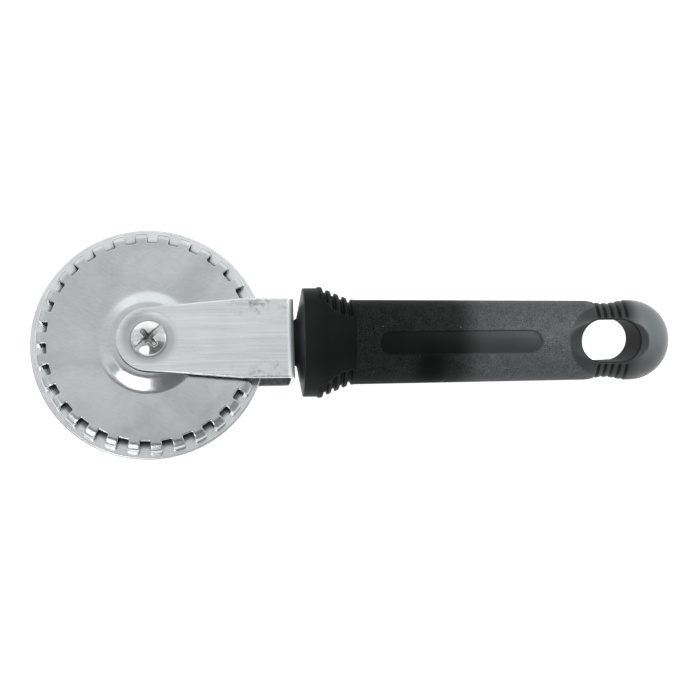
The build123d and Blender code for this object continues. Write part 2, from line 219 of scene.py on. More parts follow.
class HandleSizes(bpy.types.PropertyGroup):
    """Grip with its collar, ribs, panel and hang hole."""

    flatness: factor("Flatness", "Thickness of the oval section as a share of its width", 0.78)
    turn: angle("Turn", "Turn of the handle about its axis, from the cutter's plane", 14.0)
    collar_radius: length("Collar radius", "Half width of the collar", 0.0164)
    collar_length: length("Collar length", "Length of the collar", 0.006)
    nose_radius: length("Nose radius", "Half width of the nose where it meets the collar", 0.016)
    nose_seat: length("Nose seat", "Half width of the nose where it meets the fork", 0.0068)
    nose_neck: length("Nose neck", "Straight stretch of the nose behind the fork", 0.001)
    core_flange: length("Core flange", "Thickness of the core's flange under the collar", 0.002)
    core_flange_radius: length("Flange radius", "Half width at the flange's back", 0.0138)
    core_neck: length("Core neck", "Length over which the core narrows to its bar", 0.008)
    core_front: length("Bar front", "Half width of the core's bar at its front", 0.00895)
    core_rear: length("Bar rear", "Half width of the core's bar at its rear", 0.00835)
    lock_rings: count("Lock rings", "Rings on the bar that hold the grip", 4)
    lock_width: length("Lock ring width", "Width of a lock ring", 0.0025)
    lock_height: length("Lock ring height", "Height of a lock ring", 0.001)
    flare_length: length("Flare length", "From the collar to the grip's front end", 0.00849)
    front_radius: length("Front radius", "Half width of the grip at its front end", 0.0128)
    rear_radius: length("Rear radius", "Half width of the grip at its rear end", 0.0122)
    grip_length: length("Grip length", "Length of the grip between flare and waist", 0.0726)
    waist_radius: length("Waist radius", "Half width of the waist", 0.0114)
    waist_slope: length("Waist slope", "Length of the slope at each end of the waist", 0.0044)
    waist_length: length("Waist length", "Length of the waist's floor", 0.0029)
    waist_round: length("Waist round", "Rounding at the ends of the slopes", 0.008)
    end_straight: length("End straight", "Straight stretch before the round end", 0.0023)
    end_radius: length("End radius", "Radius of the round end", 0.0123)
    lip_height: length("Lip height", "How far the collar's back lip stands out", 0.00035)
    lip_width: length("Lip width", "Width of the lip", 0.0019)
    lip_start: length("Lip start", "Distance from the axis at which the lip starts", 0.0135)
    front_grooves: count("Front grooves", "Grooves across the flare", 4)
    front_pitch: length("Front pitch", "From one front groove to the next", 0.00243)
    front_width: length("Front groove width", "Width of a front groove", 0.0011)
    front_depth: length("Front groove depth", "Depth of a front groove", 0.0011)
    shield_half: length("Shield half width", "Half width of the smooth shield at its narrow end", 0.008)
    shield_rise: length("Shield rise", "How far the shield stands above the ribs beside it", 0.00025)
    rear_grooves: count("Rear grooves", "Grooves across the waist", 5)
    rear_pitch: length("Rear pitch", "From one rear groove to the next", 0.00215)
    rear_width: length("Rear groove width", "Width of a rear groove", 0.0009)
    rear_depth: length("Rear groove depth", "Depth of a rear groove", 0.0007)
    rear_inset: length("Rear inset", "From the waist's start to the first groove's middle", 0.0027)
    rear_stop: length("Rear stop", "Distance from the axis at which the rear grooves start", 0.0071)
    hole_length: length("Hole length", "Length of the hang hole", 0.0182)
    hole_width: length("Hole width", "Width of the hang hole", 0.0127)
    hole_setback: length("Hole setback", "From the handle's end to the hole's middle", 0.0201)
    hole_round: length("Hole round", "Rounding of the hole's rims", 0.0007)
    dish_width: length("Dish width", "Width of the bevel round the hole", 0.0042)
    dish_depth: length("Dish depth", "Depth of the bevel at the hole", 0.0013)
    panel_length: length("Panel length", "Length of the bare recessed panel", 0.0493)
    panel_width: length("Panel width", "Width of the panel", 0.0072)
    panel_depth: length("Panel depth", "Depth of the panel", 0.00045)
    panel_setback: length("Panel setback", "From the grip's front end to the panel", 0.008)


class FinishColours(bpy.types.PropertyGroup):
    """Base colours of the finishes."""

    cutter: colour("Cutter steel", "Satin cutter steel", (0.73, 0.755, 0.755))
    stamped: colour("Stamped steel", "Rolled and stamped sheet", (0.525, 0.55, 0.555))
    # Darkened steel for the cutter under the discs and the discs' inner faces: painted shade where little
    # light reaches.
    dull: colour("Dull steel", "Unpolished steel between the discs", (0.085, 0.09, 0.09))
    fork: colour("Fork steel", "Brushed strip", (0.65, 0.68, 0.68))
    # The strip's inner face, darkened: painted shade inside the fork.
    inside: colour("Fork inside", "Unpolished inner face of the strip", (0.25, 0.26, 0.26))
    # Pale edges of the strip: a painted highlight along its edges.
    edge: colour("Fork edge", "Burnished edges of the strip", (0.93, 0.945, 0.945))
    nickel: colour("Nickel", "Polished plating of the axle", (0.61, 0.63, 0.625))
    hub: colour("Hub steel", "Turned hub pieces", (0.60, 0.61, 0.61))
    zinc: colour("Zinc", "Plated fork screw and washer", (0.66, 0.67, 0.69))
    brass: colour("Brass", "Turned insert", (0.78, 0.58, 0.25))
    nylon: colour("Nylon", "Thrust washers", (0.80, 0.79, 0.74))
    core: colour("Core plastic", "Rigid black plastic", (0.0145, 0.0165, 0.017))
    grip: colour("Grip rubber", "Soft black overmould", (0.0034, 0.0042, 0.0040))
    # Grey of the grip's far half: partly greyed by handling, partly painted light.
    worn: colour("Worn rubber", "Overmould greyed by handling", (0.0138, 0.0156, 0.0156))
    # Pale round end: partly bloom of the rubber, partly painted light.
    bloom: colour("Bloomed rubber", "Overmould of the round end, paled by age", (0.075, 0.083, 0.084))
    dust: colour("Dust", "Pale specks on the grained rubber", (0.35, 0.36, 0.36))


class StageSizes(bpy.types.PropertyGroup):
    """Camera, lights and floor."""

    camera_height: length("Camera height", "Above the cutter's plane", 0.46881)
    camera_foot: length("Camera foot", "Along the handle, where the camera stands", -0.05543)
    camera_pitch: angle("Camera pitch", "Lean of the view towards the handle's near edge", 11.5)
    camera_roll: angle("Camera roll", "Turn of the picture about the view", -1.8144)
    target_x: length("Target along", "Point in the middle of the picture, along the handle", -0.001826)
    target_y: length("Target across", "Point in the middle of the picture, across the handle", -0.001352)
    lens: factor("Lens", "Focal length in millimetres on a 36 mm sensor", 81.863)
    floor_size: length("Floor size", "Side of the pale floor", 12.0)
    floor_colour: colour("Floor colour", "Pale studio floor", (0.6, 0.6, 0.6))
    floor_lift: factor("Floor lift", "Light that the camera and mirrors see on the floor", 0.82)
    world_start: factor("World start", "Rise of a direction at which the surroundings start to dim", 0.4)
    world_end: factor("World end", "Rise of a direction at which the surroundings are dimmest", 0.92)
    world_low: factor("World low", "Light from the surroundings near the floor", 0.8)
    world_high: factor("World high", "Light from the surroundings overhead", 0.2)
    panel_place: place("Panel place", "Middle of the large panel above", (-0.15, 0.605, 0.9))
    panel_size: place("Panel size", "Sides of the large panel", (1.9, 1.1))
    panel_power: power("Panel power", "Power of the large panel", 4.15)
    behind_place: place("Behind place", "Middle of the panel behind", (-0.1, 0.85, 0.85))
    behind_size: place("Behind size", "Sides of the panel behind", (1.2, 0.6))
    behind_power: power("Behind power", "Power of the panel behind", 1.0)
    left_place: place("Left place", "Middle of the panel past the wheel", (-0.5, 0.27, 0.9))
    left_size: place("Left size", "Sides of the left panel", (0.4, 0.68))
    left_power: power("Left power", "Power of the left panel", 0.8)
    right_place: place("Right place", "Middle of the panel above the handle's end", (0.33, 0.37, 0.9))
    right_size: place("Right size", "Sides of the right panel", (0.52, 0.5))
    right_power: power("Right power", "Power of the right panel", 1.5)
    side_place: place("Side place", "Middle of the panel past the handle's end", (0.64, 0.12, 0.46))
    side_target: place("Side target", "Point that the side panel faces", (0.03, 0.0, 0.0))
    side_size: place("Side size", "Sides of the side panel", (0.4, 0.6))
    side_power: power("Side power", "Power of the side panel", 0.6)
    key_place: place("Key place", "Middle of the softbox towards the near left", (-0.2, -0.22, 0.7))
    key_size: place("Key size", "Sides of the softbox", (0.23, 0.22))
    key_power: power("Key power", "Power of the softbox", 0.95)
    near_place: place("Near place", "Middle of the low strip in front of the wheel", (-0.07, -0.7, 0.12))
    near_target: place("Near target", "Point that the low strip faces", AXLE)
    near_size: place("Near size", "Sides of the low strip", (0.7, 0.12))
    near_power: power("Near power", "Power of the low strip", 0.7)
    beam_place: place("Beam place", "Place of the narrow light past the handle's end", (0.245, 0.11, 0.6))
    beam_target: place("Beam target", "Point that the narrow light faces", (0.1, 0.0, 0.0))
    beam_radius: length("Beam radius", "Radius of the narrow light's face", 0.03)
    beam_cone: angle("Beam cone", "Opening of the narrow light", 13.6)
    beam_blend: factor("Beam blend", "Share of the cone over which the light fades", 0.35)
    beam_power: power("Beam power", "Power of the narrow light", 18.0)


# Surfaces


def grid_quads(rows, columns, closed):
    """Vertex numbers of a grid's quads, row by row. A closed grid joins its last column to its first."""
    strips = columns if closed else columns - 1
    row, column = np.meshgrid(np.arange(rows - 1), np.arange(strips), indexing="ij")
    after = (column + 1) % columns
    here, ahead = row * columns, (row + 1) * columns
    return np.stack([here + column, here + after, ahead + after, ahead + column], -1).reshape(-1, 4)


def surface(name, patches, inside, masks=None):
    """One mesh object from grids of points, each with its slot. The grids are welded where they meet."""
    points = np.concatenate([grid.reshape(-1, 3) for grid, _, _ in patches])
    starts = np.cumsum([0] + [grid.shape[0] * grid.shape[1] for grid, _, _ in patches])
    quads = [grid_quads(*grid.shape[:2], closed) for grid, closed, _ in patches]
    slots = np.repeat([slot for _, _, slot in patches], [len(part) for part in quads])
    quads = [part + start for part, start in zip(quads, starts)]
    quads = np.concatenate(quads).astype(np.int32)
    mesh = bpy.data.meshes.new(name)
    mesh.vertices.add(len(points))
    mesh.vertices.foreach_set("co", points.astype(np.float32).ravel())
    mesh.loops.add(quads.size)
    mesh.loops.foreach_set("vertex_index", quads.ravel())
    mesh.polygons.add(len(quads))
    mesh.polygons.foreach_set("loop_start", np.arange(0, quads.size, 4, dtype=np.int32))
    mesh.polygons.foreach_set("material_index", slots.astype(np.int32))
    mesh.update(calc_edges=True)
    for mask, values in (masks or {}).items():
        kept = mesh.attributes.new(mask, "FLOAT", "POINT")
        kept.data.foreach_set("value", values.astype(np.float32).ravel())
    weld(mesh)
    face_outward(mesh, inside)
    mesh.polygons.foreach_set("use_smooth", np.ones(len(mesh.polygons), bool))
    piece = bpy.data.objects.new(name, mesh)
    bpy.context.scene.collection.objects.link(piece)
    return piece


def weld(mesh):
    """Joins doubled points, drops empty faces and turns neighbouring faces the same way."""
    work = bmesh.new()
    work.from_mesh(mesh)
    bmesh.ops.remove_doubles(work, verts=work.verts, dist=WELD_GAP)
    bmesh.ops.dissolve_degenerate(work, edges=work.edges, dist=EMPTY_GAP)
    bmesh.ops.recalc_face_normals(work, faces=work.faces)
    work.to_mesh(mesh)
    work.free()


def face_outward(mesh, inside):
    """Turns all faces round if they look towards a point inside.

    They do if the sum of area times normal times the way from that point is less than 0.
    """
    faces = mesh.polygons
    normals = np.empty(3 * len(faces), np.float32)
    centres = np.empty(3 * len(faces), np.float32)
    areas = np.empty(len(faces), np.float32)
    faces.foreach_get("normal", normals)
    faces.foreach_get("center", centres)
    faces.foreach_get("area", areas)
    outward = np.sum(normals.reshape(-1, 3) * (centres.reshape(-1, 3) - inside), axis=1)
    if np.sum(areas * outward) < 0:
        mesh.flip_normals()


def smooth_step(value, start, end):
    """0 before start and 1 after end, with level ends between: 3t squared less 2t cubed."""
    t = np.clip((value - start) / (end - start), 0, 1)
    return t * t * (3 - 2 * t)


def soft_min(first, second, width):
    """The lower of two heights, rounded where they cross.

    It is a mix of both by a share that changes over a width, less that width times the share times its rest.
    """
    share = np.clip(0.5 + (second - first) / (2 * width), 0, 1)
    return second + (first - second) * share - width * share * (1 - share)


def crowded(number):
    """Places from -1 to 1 that crowd towards both ends: the sine of even steps through half a turn."""
    return np.sin(np.linspace(-math.pi / 2, math.pi / 2, number))


def rounded_path(corners, radii, step):
    """Points along straight lines whose inner corners are arcs, at most about a step apart.

    An arc leaves its line a radius times the tangent of half the turn before the corner.
    """
    corners = np.asarray(corners, float)
    runs = [corners[:1]]
    for before, corner, after, radius in zip(corners, corners[1:], corners[2:], radii):
        ahead = (corner - before) / np.linalg.norm(corner - before)
        onward = (after - corner) / np.linalg.norm(after - corner)
        turn = math.acos(np.clip(ahead @ onward, -1, 1))
        side = (onward - ahead * math.cos(turn)) / math.sin(turn)
        swing = np.linspace(0, turn, ARC_POINTS)[:, None]
        start = corner - ahead * radius * math.tan(turn / 2)
        runs.append(start + radius * (np.sin(swing) * ahead + (1 - np.cos(swing)) * side))
    path = np.concatenate([*runs, corners[-1:]])
    along = np.concatenate([[0], np.cumsum(np.linalg.norm(np.diff(path, axis=0), axis=1))])
    places = np.union1d(along, np.arange(0, along[-1], step))
    places = places[np.append(np.diff(places) > step / CLOSE_PART, True)]
    return np.stack([np.interp(places, along, path[:, 0]), np.interp(places, along, path[:, 1])], -1)


def about_axle(radius, angles, height):
    """Points from a radius, an angle and a height about the axle."""
    return np.stack(
        np.broadcast_arrays(AXLE_X + radius * np.cos(angles), radius * np.sin(angles), height), -1
    )


def break_edges(piece, width, slot):
    """Breaks the edges of a cut strip with a small flat, in a slot of its own."""
    bevel = piece.modifiers.new("edge_break", "BEVEL")
    bevel.width = width
    bevel.segments = 1
    bevel.mark_sharp = True
    bevel.limit_method = "ANGLE"
    bevel.angle_limit = CUT_ANGLE
    bevel.material = slot


def thicken(piece, thickness):
    """Gives a sheet its wall, inwards from its outer face, with the inner face in the second slot."""
    wall = piece.modifiers.new("sheet_wall", "SOLIDIFY")
    wall.thickness = thickness
    wall.offset = -1.0
    wall.use_even_offset = True
    wall.material_offset = 1


def install(piece, body, node, slot, *materials):
    """Puts a finished piece in a CAD node's place."""
    for material in materials:
        piece.data.materials.append(material)
    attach(piece, body)
    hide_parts(node)


def dress(material, *nodes):
    """Gives CAD nodes a finished material."""
    for node in nodes:
        for slot in frame["nodes"][node].material_slots:
            slot.material = material


# Material helpers


class Finish:
    """A node material, with short calls for adding and linking nodes."""

    def __init__(self, name):
        self.material = bpy.data.materials.new(name)
        self.material.use_nodes = True
        self.tree = self.material.node_tree
        self.shader = self.tree.nodes["Principled BSDF"]
        self.place = self.add("ShaderNodeTexCoord").outputs["Object"]

    def add(self, kind, inputs=None, **settings):
        """A node with its settings, and its inputs set to values or linked to sockets."""
        node = self.tree.nodes.new(kind)
        for setting, value in settings.items():
            setattr(node, setting, value)
        for socket, value in (inputs or {}).items():
            self.put(node.inputs[socket], value)
        return node

    def put(self, socket, value):
        """Sets a socket to a value, or links it to another socket."""
        if isinstance(value, bpy.types.NodeSocket):
            self.tree.links.new(value, socket)
        else:
            socket.default_value = value

    def set(self, **inputs):
        """Sets the shader's inputs, named with _ for a space."""
        for socket, value in inputs.items():
            self.put(self.shader.inputs[socket.replace("_", " ")], value)

    def stretched(self, scale, centre=(0.0, 0.0, 0.0), turn=0.0):
        """Object coordinates moved to a centre, turned and scaled."""
        vector = self.place
        changes = {"Location": [-along for along in centre], "Rotation": (0.0, 0.0, turn), "Scale": scale}
        for change, value in changes.items():
            vector = self.add("ShaderNodeMapping", {"Vector": vector, change: value}).outputs[0]
        return vector

    def from_axle(self):
        """Distance from the axle's line."""
        flat = self.stretched((1.0, 1.0, 0.0), centre=AXLE)
        return self.add("ShaderNodeVectorMath", {0: flat}, operation="LENGTH").outputs["Value"]

    def mask(self, name):
        """A value kept at the mesh's points."""
        return self.add("ShaderNodeAttribute", attribute_name=name).outputs["Fac"]

    def noise(self, scale, detail=3.0, roughness=0.55, vector=None, distortion=0.0):
        """Noise from 0 to 1."""
        inputs = {"Vector": vector or self.place, "Scale": scale, "Detail": detail, "Roughness": roughness}
        inputs["Distortion"] = distortion
        return self.add("ShaderNodeTexNoise", inputs).outputs["Fac"]

    def ramp(self, value, low, high, start=0.0, end=1.0):
        """A value carried from one range to another, and held at its ends."""
        inputs = {"Value": value, "From Min": low, "From Max": high, "To Min": start, "To Max": end}
        return self.add("ShaderNodeMapRange", inputs).outputs["Result"]

    def math(self, operation, first, second=0.0):
        """One step of arithmetic."""
        return self.add("ShaderNodeMath", {0: first, 1: second}, operation=operation).outputs[0]

    def total(self, *parts):
        """The sum of values, each times its weight."""
        whole, *others = [self.math("MULTIPLY", value, weight) for value, weight in parts]
        for other in others:
            whole = self.math("ADD", whole, other)
        return whole

    def tint(self, base, share, other):
        """A colour mixed towards another by a share."""
        mix = self.add("ShaderNodeMix", data_type="RGBA")
        self.put(mix.inputs["Factor"], share)
        self.put(mix.inputs["A"], base)
        self.put(mix.inputs["B"], other)
        return mix.outputs["Result"]

    def shades(self, base, share, low, high):
        """A colour that goes from one shade of itself to another with a share."""
        return self.tint(shade(base, low), share, shade(base, high))

    def bump(self, height, distance, strength=1.0):
        """A normal raised by a height."""
        inputs = {"Height": height, "Distance": distance, "Strength": strength}
        return self.add("ShaderNodeBump", inputs).outputs["Normal"]


def shade(base, share):
    """A colour as the shader takes it, made lighter or darker."""
    return (*[min(1.0, channel * share) for channel in base], 1.0)


# Finishes


def cutter_steel(colours):
    """Satin sheet with rings left by grinding, darker where the crimping discs cover it: painted shade
    between the discs.
    """
    covered_to_open = (0.0308, 0.0318)
    finish = Finish("cutter_steel")
    radius = finish.from_axle()
    inputs = {"W": radius, "Scale": 5200.0, "Detail": 4.0}
    rings = finish.add("ShaderNodeTexNoise", inputs, noise_dimensions="1D").outputs["Fac"]
    share = finish.math("MULTIPLY", rings, finish.noise(140.0))
    bright = finish.shades(colours.cutter, finish.ramp(share, 0.1, 0.45), 0.86, 1.08)
    # Painted shade: the cutter is darkened where the crimping discs cover it.
    covered = finish.ramp(radius, *covered_to_open, 0.88, 0.0)
    finish.set(
        Base_Color=finish.tint(bright, covered, shade(colours.dull, 1.0)),
        Metallic=1.0,
        Roughness=finish.ramp(rings, *MOST_NOISE, 0.2, 0.3),
        Normal=finish.bump(rings, 0.00001, 0.5),
    )
    return finish.material


def stamped_steel(colours):
    """Rolled sheet: cloudy patches, a fine grain along the rolling direction and a few scratches."""
    rolled_way, scratched_way = math.radians(24), math.radians(-33)
    face_to_teeth = (0.0312, 0.0318)
    finish = Finish("stamped_steel")
    clouds = finish.noise(55.0, detail=4.0, distortion=0.4)
    rolled = finish.stretched((500.0, 2600.0, 2600.0), turn=rolled_way)
    grain = finish.noise(1.0, detail=5.0, vector=rolled)
    speckle = finish.noise(2300.0, detail=2.0)
    fine = finish.math("ADD", grain, speckle)
    scratched = finish.stretched((60.0, 3400.0, 400.0), turn=scratched_way)
    scratches = finish.ramp(finish.noise(1.0, detail=1.0, vector=scratched), 0.735, 0.78, 0.0, 0.35)
    tone = finish.total((clouds, 0.75), (grain, 0.25))
    base = finish.shades(colours.stamped, finish.ramp(tone, *INNER_NOISE), 0.86, 1.12)
    rough = finish.ramp(fine, 0.7, 1.3, 0.14, 0.2)
    finish.set(
        Base_Color=finish.tint(base, scratches, shade(colours.stamped, 1.35)),
        Metallic=1.0,
        Roughness=finish.math("ADD", rough, finish.ramp(finish.from_axle(), *face_to_teeth, 0.0, 0.14)),
        Normal=finish.bump(fine, 0.000005, 0.2),
    )
    return finish.material


def dull_steel(name, base):
    """Darkened inside of a stamped or bent piece: painted shade where little light reaches between the
    pieces.
    """
    finish = Finish(name)
    scale = finish.noise(800.0, detail=5.0)
    finish.set(
        Base_Color=finish.shades(base, finish.ramp(scale, *MIDDLE_NOISE), 0.7, 1.2),
        Metallic=1.0,
        Roughness=finish.ramp(scale, *MOST_NOISE, 0.45, 0.6),
    )
    return finish.material


def fork_steel(colours):
    """Strip brushed along its length and stained by its edges; darker in the dish round the axle, a painted
    shade, and paler at the bend, a painted highlight.
    """
    dish_shade_to_bright, rough_to_bright = (0.0070, 0.0090), (0.0070, 0.0088)
    clean_to_stained = (0.0055, 0.0085)
    arm_to_stained = (AXLE_X + 0.022, AXLE_X + 0.030)
    arm_to_bend = (FORK_HIGH.x - 0.0023, FORK_HIGH.x - 0.0016)
    finish = Finish("fork_steel")
    brushed = finish.stretched((45.0, 3000.0, 45.0))
    lines = finish.noise(1.0, detail=6.0, roughness=0.65, vector=brushed)
    streaks = finish.noise(1.0, vector=finish.stretched((25.0, 520.0, 25.0)))
    clouds = finish.noise(160.0, detail=4.0)
    spots = finish.noise(520.0, detail=5.0, roughness=0.7)
    tone = finish.total((lines, 0.5), (streaks, 0.3), (clouds, 0.2))
    base = finish.shades(colours.fork, finish.ramp(tone, *INNER_NOISE), 0.86, 1.1)
    radius = finish.from_axle()
    # Painted shade: the dish round the axle is darkened.
    base = finish.tint(base, finish.ramp(radius, *dish_shade_to_bright, 0.9, 0.0), shade(colours.fork, 0.6))
    axes = finish.add("ShaderNodeSeparateXYZ", {"Vector": finish.place}).outputs
    edges = finish.ramp(finish.math("ABSOLUTE", axes["Y"]), *clean_to_stained)
    corners = finish.math("MULTIPLY", edges, finish.ramp(axes["X"], *arm_to_stained))
    stains = finish.math("MULTIPLY", finish.ramp(spots, 0.44, 0.66), finish.ramp(clouds, 0.40, 0.56))
    stains = finish.math("MULTIPLY", stains, finish.ramp(corners, 0.0, 1.0, 0.05, 0.9))
    base = finish.tint(base, stains, shade(colours.fork, 0.3))
    bent = finish.ramp(axes["X"], *arm_to_bend)
    rough = finish.ramp(lines, *MOST_NOISE, 0.24, 0.36)
    rough = finish.math("ADD", rough, finish.ramp(radius, *rough_to_bright, 0.14, 0.0))
    # Painted highlight: the bend is paler, as if lit; the extra roughness there is its own.
    finish.set(
        Base_Color=finish.tint(base, bent, shade(colours.fork, 1.3)),
        Metallic=1.0,
        Roughness=finish.math("ADD", rough, finish.math("MULTIPLY", bent, 0.28)),
        Normal=finish.bump(lines, 0.00002, finish.ramp(bent, 0.0, 1.0, 0.4, 0.02)),
    )
    return finish.material


def plating(finish, base):
    """Faint handling marks on a bright plating, and the colour that they leave it."""
    marks = finish.noise(900.0, detail=5.0)
    finish.set(Metallic=1.0, Normal=finish.bump(marks, 0.000008, 0.3))
    return marks, finish.shades(base, finish.ramp(marks, *MIDDLE_NOISE), 0.9, 1.06)


def plated_metal(name, base, roughness):
    """Bright plating with faint handling marks."""
    finish = Finish(name)
    marks, bright = plating(finish, base)
    finish.set(Base_Color=bright, Roughness=finish.ramp(marks, *MOST_NOISE, roughness, roughness + 0.1))
    return finish.material


def axle_nickel(colours):
    """Polished plating, darkened in the slot and the cross: painted shade in the recesses."""
    finish = Finish("axle_nickel")
    marks, bright = plating(finish, colours.nickel)
    # Painted shade in the slot and the cross.
    recess_shade = finish.math("MULTIPLY", finish.mask("sunk"), finish.ramp(marks, 0.3, 0.6, 0.75, 1.0))
    polish = finish.ramp(marks, *MOST_NOISE, 0.1, 0.18)
    finish.set(
        Base_Color=finish.tint(bright, recess_shade, shade(colours.nickel, 0.16)),
        Roughness=finish.math("ADD", polish, finish.math("MULTIPLY", recess_shade, 0.3)),
    )
    return finish.material


def nylon(colours):
    """Milky washer plastic."""
    finish = Finish("washer_nylon")
    clouds = finish.noise(700.0)
    finish.set(
        Base_Color=finish.shades(colours.nylon, clouds, 0.9, 1.05),
        Roughness=finish.ramp(clouds, *MOST_NOISE, 0.45, 0.6),
        Subsurface_Weight=0.1,
        Subsurface_Scale=0.001,
    )
    return finish.material


def core_plastic(colours):
    """Rigid black plastic with a fine moulded grain."""
    finish = Finish("core_plastic")
    grain = finish.noise(2600.0)
    finish.set(
        Base_Color=finish.shades(colours.core, finish.noise(160.0), 0.8, 1.4),
        Roughness=finish.ramp(grain, *MOST_NOISE, 0.34, 0.46),
        Specular_IOR_Level=0.25,
        Normal=finish.bump(grain, 0.00001, 0.4),
    )
    return finish.material


def grip_rubber(colours):
    """Soft black overmould, lighter towards the hang hole, partly greyed and partly painted light.

    It is grained on the grip, and smooth on the collar, the panel and the round end.
    """
    finish = Finish("grip_rubber")
    grained, worn, dusty, sunk = [finish.mask(name) for name in ("grained", "worn", "dusty", "sunk")]
    grain = finish.noise(3600.0, detail=2.0, roughness=0.6)
    fine = finish.noise(5200.0, detail=2.0)
    mottle = finish.noise(380.0, detail=4.0)
    clouds = finish.noise(120.0, detail=4.0)
    dust = finish.add("ShaderNodeTexVoronoi", {"Vector": finish.place, "Scale": 420.0}, feature="F1")
    specks = finish.math("MULTIPLY", finish.ramp(dust.outputs["Distance"], 0.06, 0.11, 1.0, 0.0), grained)
    rare = finish.add("ShaderNodeSeparateColor", {"Color": dust.outputs["Color"]}).outputs["Red"]
    specks = finish.math("MULTIPLY", specks, finish.ramp(rare, 0.35, 0.95, 0.0, 0.22))
    dark = finish.shades(colours.grip, clouds, 0.8, 1.25)
    grey = finish.shades(colours.worn, clouds, 1.1, 1.5)
    peaks = finish.ramp(finish.total((grain, 0.8), (mottle, 0.2)), 0.38, 0.62)
    dark_peaks = finish.shades(colours.grip, peaks, 0.2, 5.6)
    grey_peaks = finish.shades(colours.worn, peaks, 1.2, 4.8)
    # The greyer far half and collar: partly wear, partly painted light.
    base = finish.tint(finish.tint(dark, worn, grey), grained, finish.tint(dark_peaks, worn, grey_peaks))
    # The round end's pale bloom: partly bloom, partly painted light.
    base = finish.tint(base, dusty, finish.shades(colours.bloom, clouds, 0.85, 1.15))
    # Painted shade in the rear grooves, the hang hole and the patch beside the panel, with no gloss there.
    base = finish.tint(base, sunk, shade(colours.grip, 1.3))
    rough = finish.ramp(grained, 0.0, 1.0, 0.5, 0.62)
    gloss = finish.ramp(worn, 0.0, 1.0, 0.07, 0.2)
    finish.set(
        Base_Color=finish.tint(base, specks, shade(colours.dust, 1.0)),
        Roughness=finish.math("ADD", rough, finish.ramp(fine, *MOST_NOISE, -0.03, 0.03)),
        Specular_IOR_Level=finish.math("MULTIPLY", gloss, finish.ramp(sunk, 0.0, 1.0, 1.0, 0.0)),
        Sheen_Weight=finish.math("MULTIPLY", dusty, 0.5),
        Sheen_Roughness=0.45,
        Normal=finish.bump(finish.total((grain, grained), (fine, 0.12)), 0.0001, 0.6),
    )
    return finish.material


# Wheel

# The cutter's rows on a face, columns round it and longest step along its rim
CUTTER_ROWS = 24
CUTTER_COLUMNS = 256
CUTTER_STEP = 0.00015
# The stamped discs' longest step along the section, and points across a tooth and across a notch
DISC_STEP = 0.0006
TOOTH_POINTS = 13
NOTCH_POINTS = 15
# Stretch of face left before the notches, and shares of it at which its rows lie, closer towards the notches
FACE_MARGIN = 0.0012
MARGIN_ROWS = (0.3, 0.55, 0.72, 0.84, 0.93, 0.98, 1.0)
# Lengths over which the face's waves rise beside the boss and fall before the teeth
WAVE_RISE = 0.004
WAVE_FALL = 0.003
# Distances from the rim between which a tooth turns down, and the least length of a tooth's first row
TOOTH_BEND = (0.0016, 0.0002)
TAB_MARGIN = 0.0002
# The tips' uneven stand: multiples of the tooth lean between which it is drawn, and the seed of the draw
LEAN_RANGE = (-2, 0)
LEAN_SEED = 7
# Angle from which an edge of a stamped disc shades as a sharp one
STAMPED_ANGLE = math.radians(50)


def cutter_path(wheel):
    """Section of the cutter from the bore out and back: flat faces, and a ground edge on both sides."""
    bevel_start = wheel.cutter_radius - wheel.cutter_bevel
    flat_end = bevel_start - wheel.cutter_bevel
    edge = wheel.cutter_edge / 2
    radii = np.linspace(wheel.bore, flat_end, CUTTER_ROWS)
    face = np.stack([radii, np.full_like(radii, wheel.cutter_face)], -1)
    upper = [(flat_end, wheel.cutter_face), (bevel_start, wheel.cutter_face), (wheel.cutter_radius, edge)]
    lower = [(radius, -height) for radius, height in reversed(upper)]
    rounds = [wheel.cutter_round, edge / 2, edge / 2, wheel.cutter_round]
    rim = rounded_path(upper + lower, rounds, CUTTER_STEP)
    return np.concatenate([face[:-1], rim, face[-2::-1] * (1, -1), face[:1]])


def rim_path(wheel):
    """Section of a crimping disc's outer face, from the bore to a tooth's tip, and its outward normal."""
    corners = [
        (wheel.bore, wheel.boss_top),
        (wheel.boss_top_radius, wheel.boss_top),
        (wheel.boss_foot_radius, wheel.face),
        (wheel.crimp_radius - wheel.tooth_slope, wheel.face),
        (wheel.crimp_radius, wheel.face - wheel.tooth_drop),
        (wheel.crimp_radius, wheel.cutter_face),
    ]
    rounds = [wheel.boss_round, wheel.boss_round, wheel.slope_round, wheel.bend]
    path = rounded_path(corners, rounds, DISC_STEP)
    ahead = np.gradient(path, axis=0)
    ahead = ahead / np.linalg.norm(ahead, axis=1, keepdims=True)
    return path, np.stack([-ahead[:, 1], ahead[:, 0]], -1)


def rolled_edge(wheel, radius, angles):
    """How far the outer face is rolled over beside the notches.

    The drop is a quarter circle over the distance to the nearest notch, a rectangle with round inner
    corners: the roll less the root of its square less the square of the roll that is left.
    """
    half_pitch = math.pi / wheel.teeth
    offset = (angles - wheel.first_notch + half_pitch) % (2 * half_pitch) - half_pitch
    aside = np.abs(radius * np.sin(offset)) - wheel.notch_width / 2 + wheel.notch_round
    inward = wheel.crimp_radius - wheel.notch_depth - radius + wheel.notch_round
    corner = np.hypot(np.maximum(aside, 0), np.maximum(inward, 0))
    away = corner + np.minimum(np.maximum(aside, inward), 0) - wheel.notch_round
    left = np.clip(wheel.edge_roll - away, 0, wheel.edge_roll)
    return wheel.edge_roll - np.sqrt(wheel.edge_roll**2 - left**2)


def ripple(x, y):
    """Unevenness of a stamped sheet: a product of two long sine waves, and a share of a short one askew."""
    along, across = 310, 270
    along_shift, across_shift = 1.2, -0.4
    askew_along, askew_across, askew_share = 640, -450, 0.6
    long_waves = np.sin(along * x + along_shift) * np.sin(across * y + across_shift)
    return long_waves + askew_share * np.sin(askew_along * x + askew_across * y)


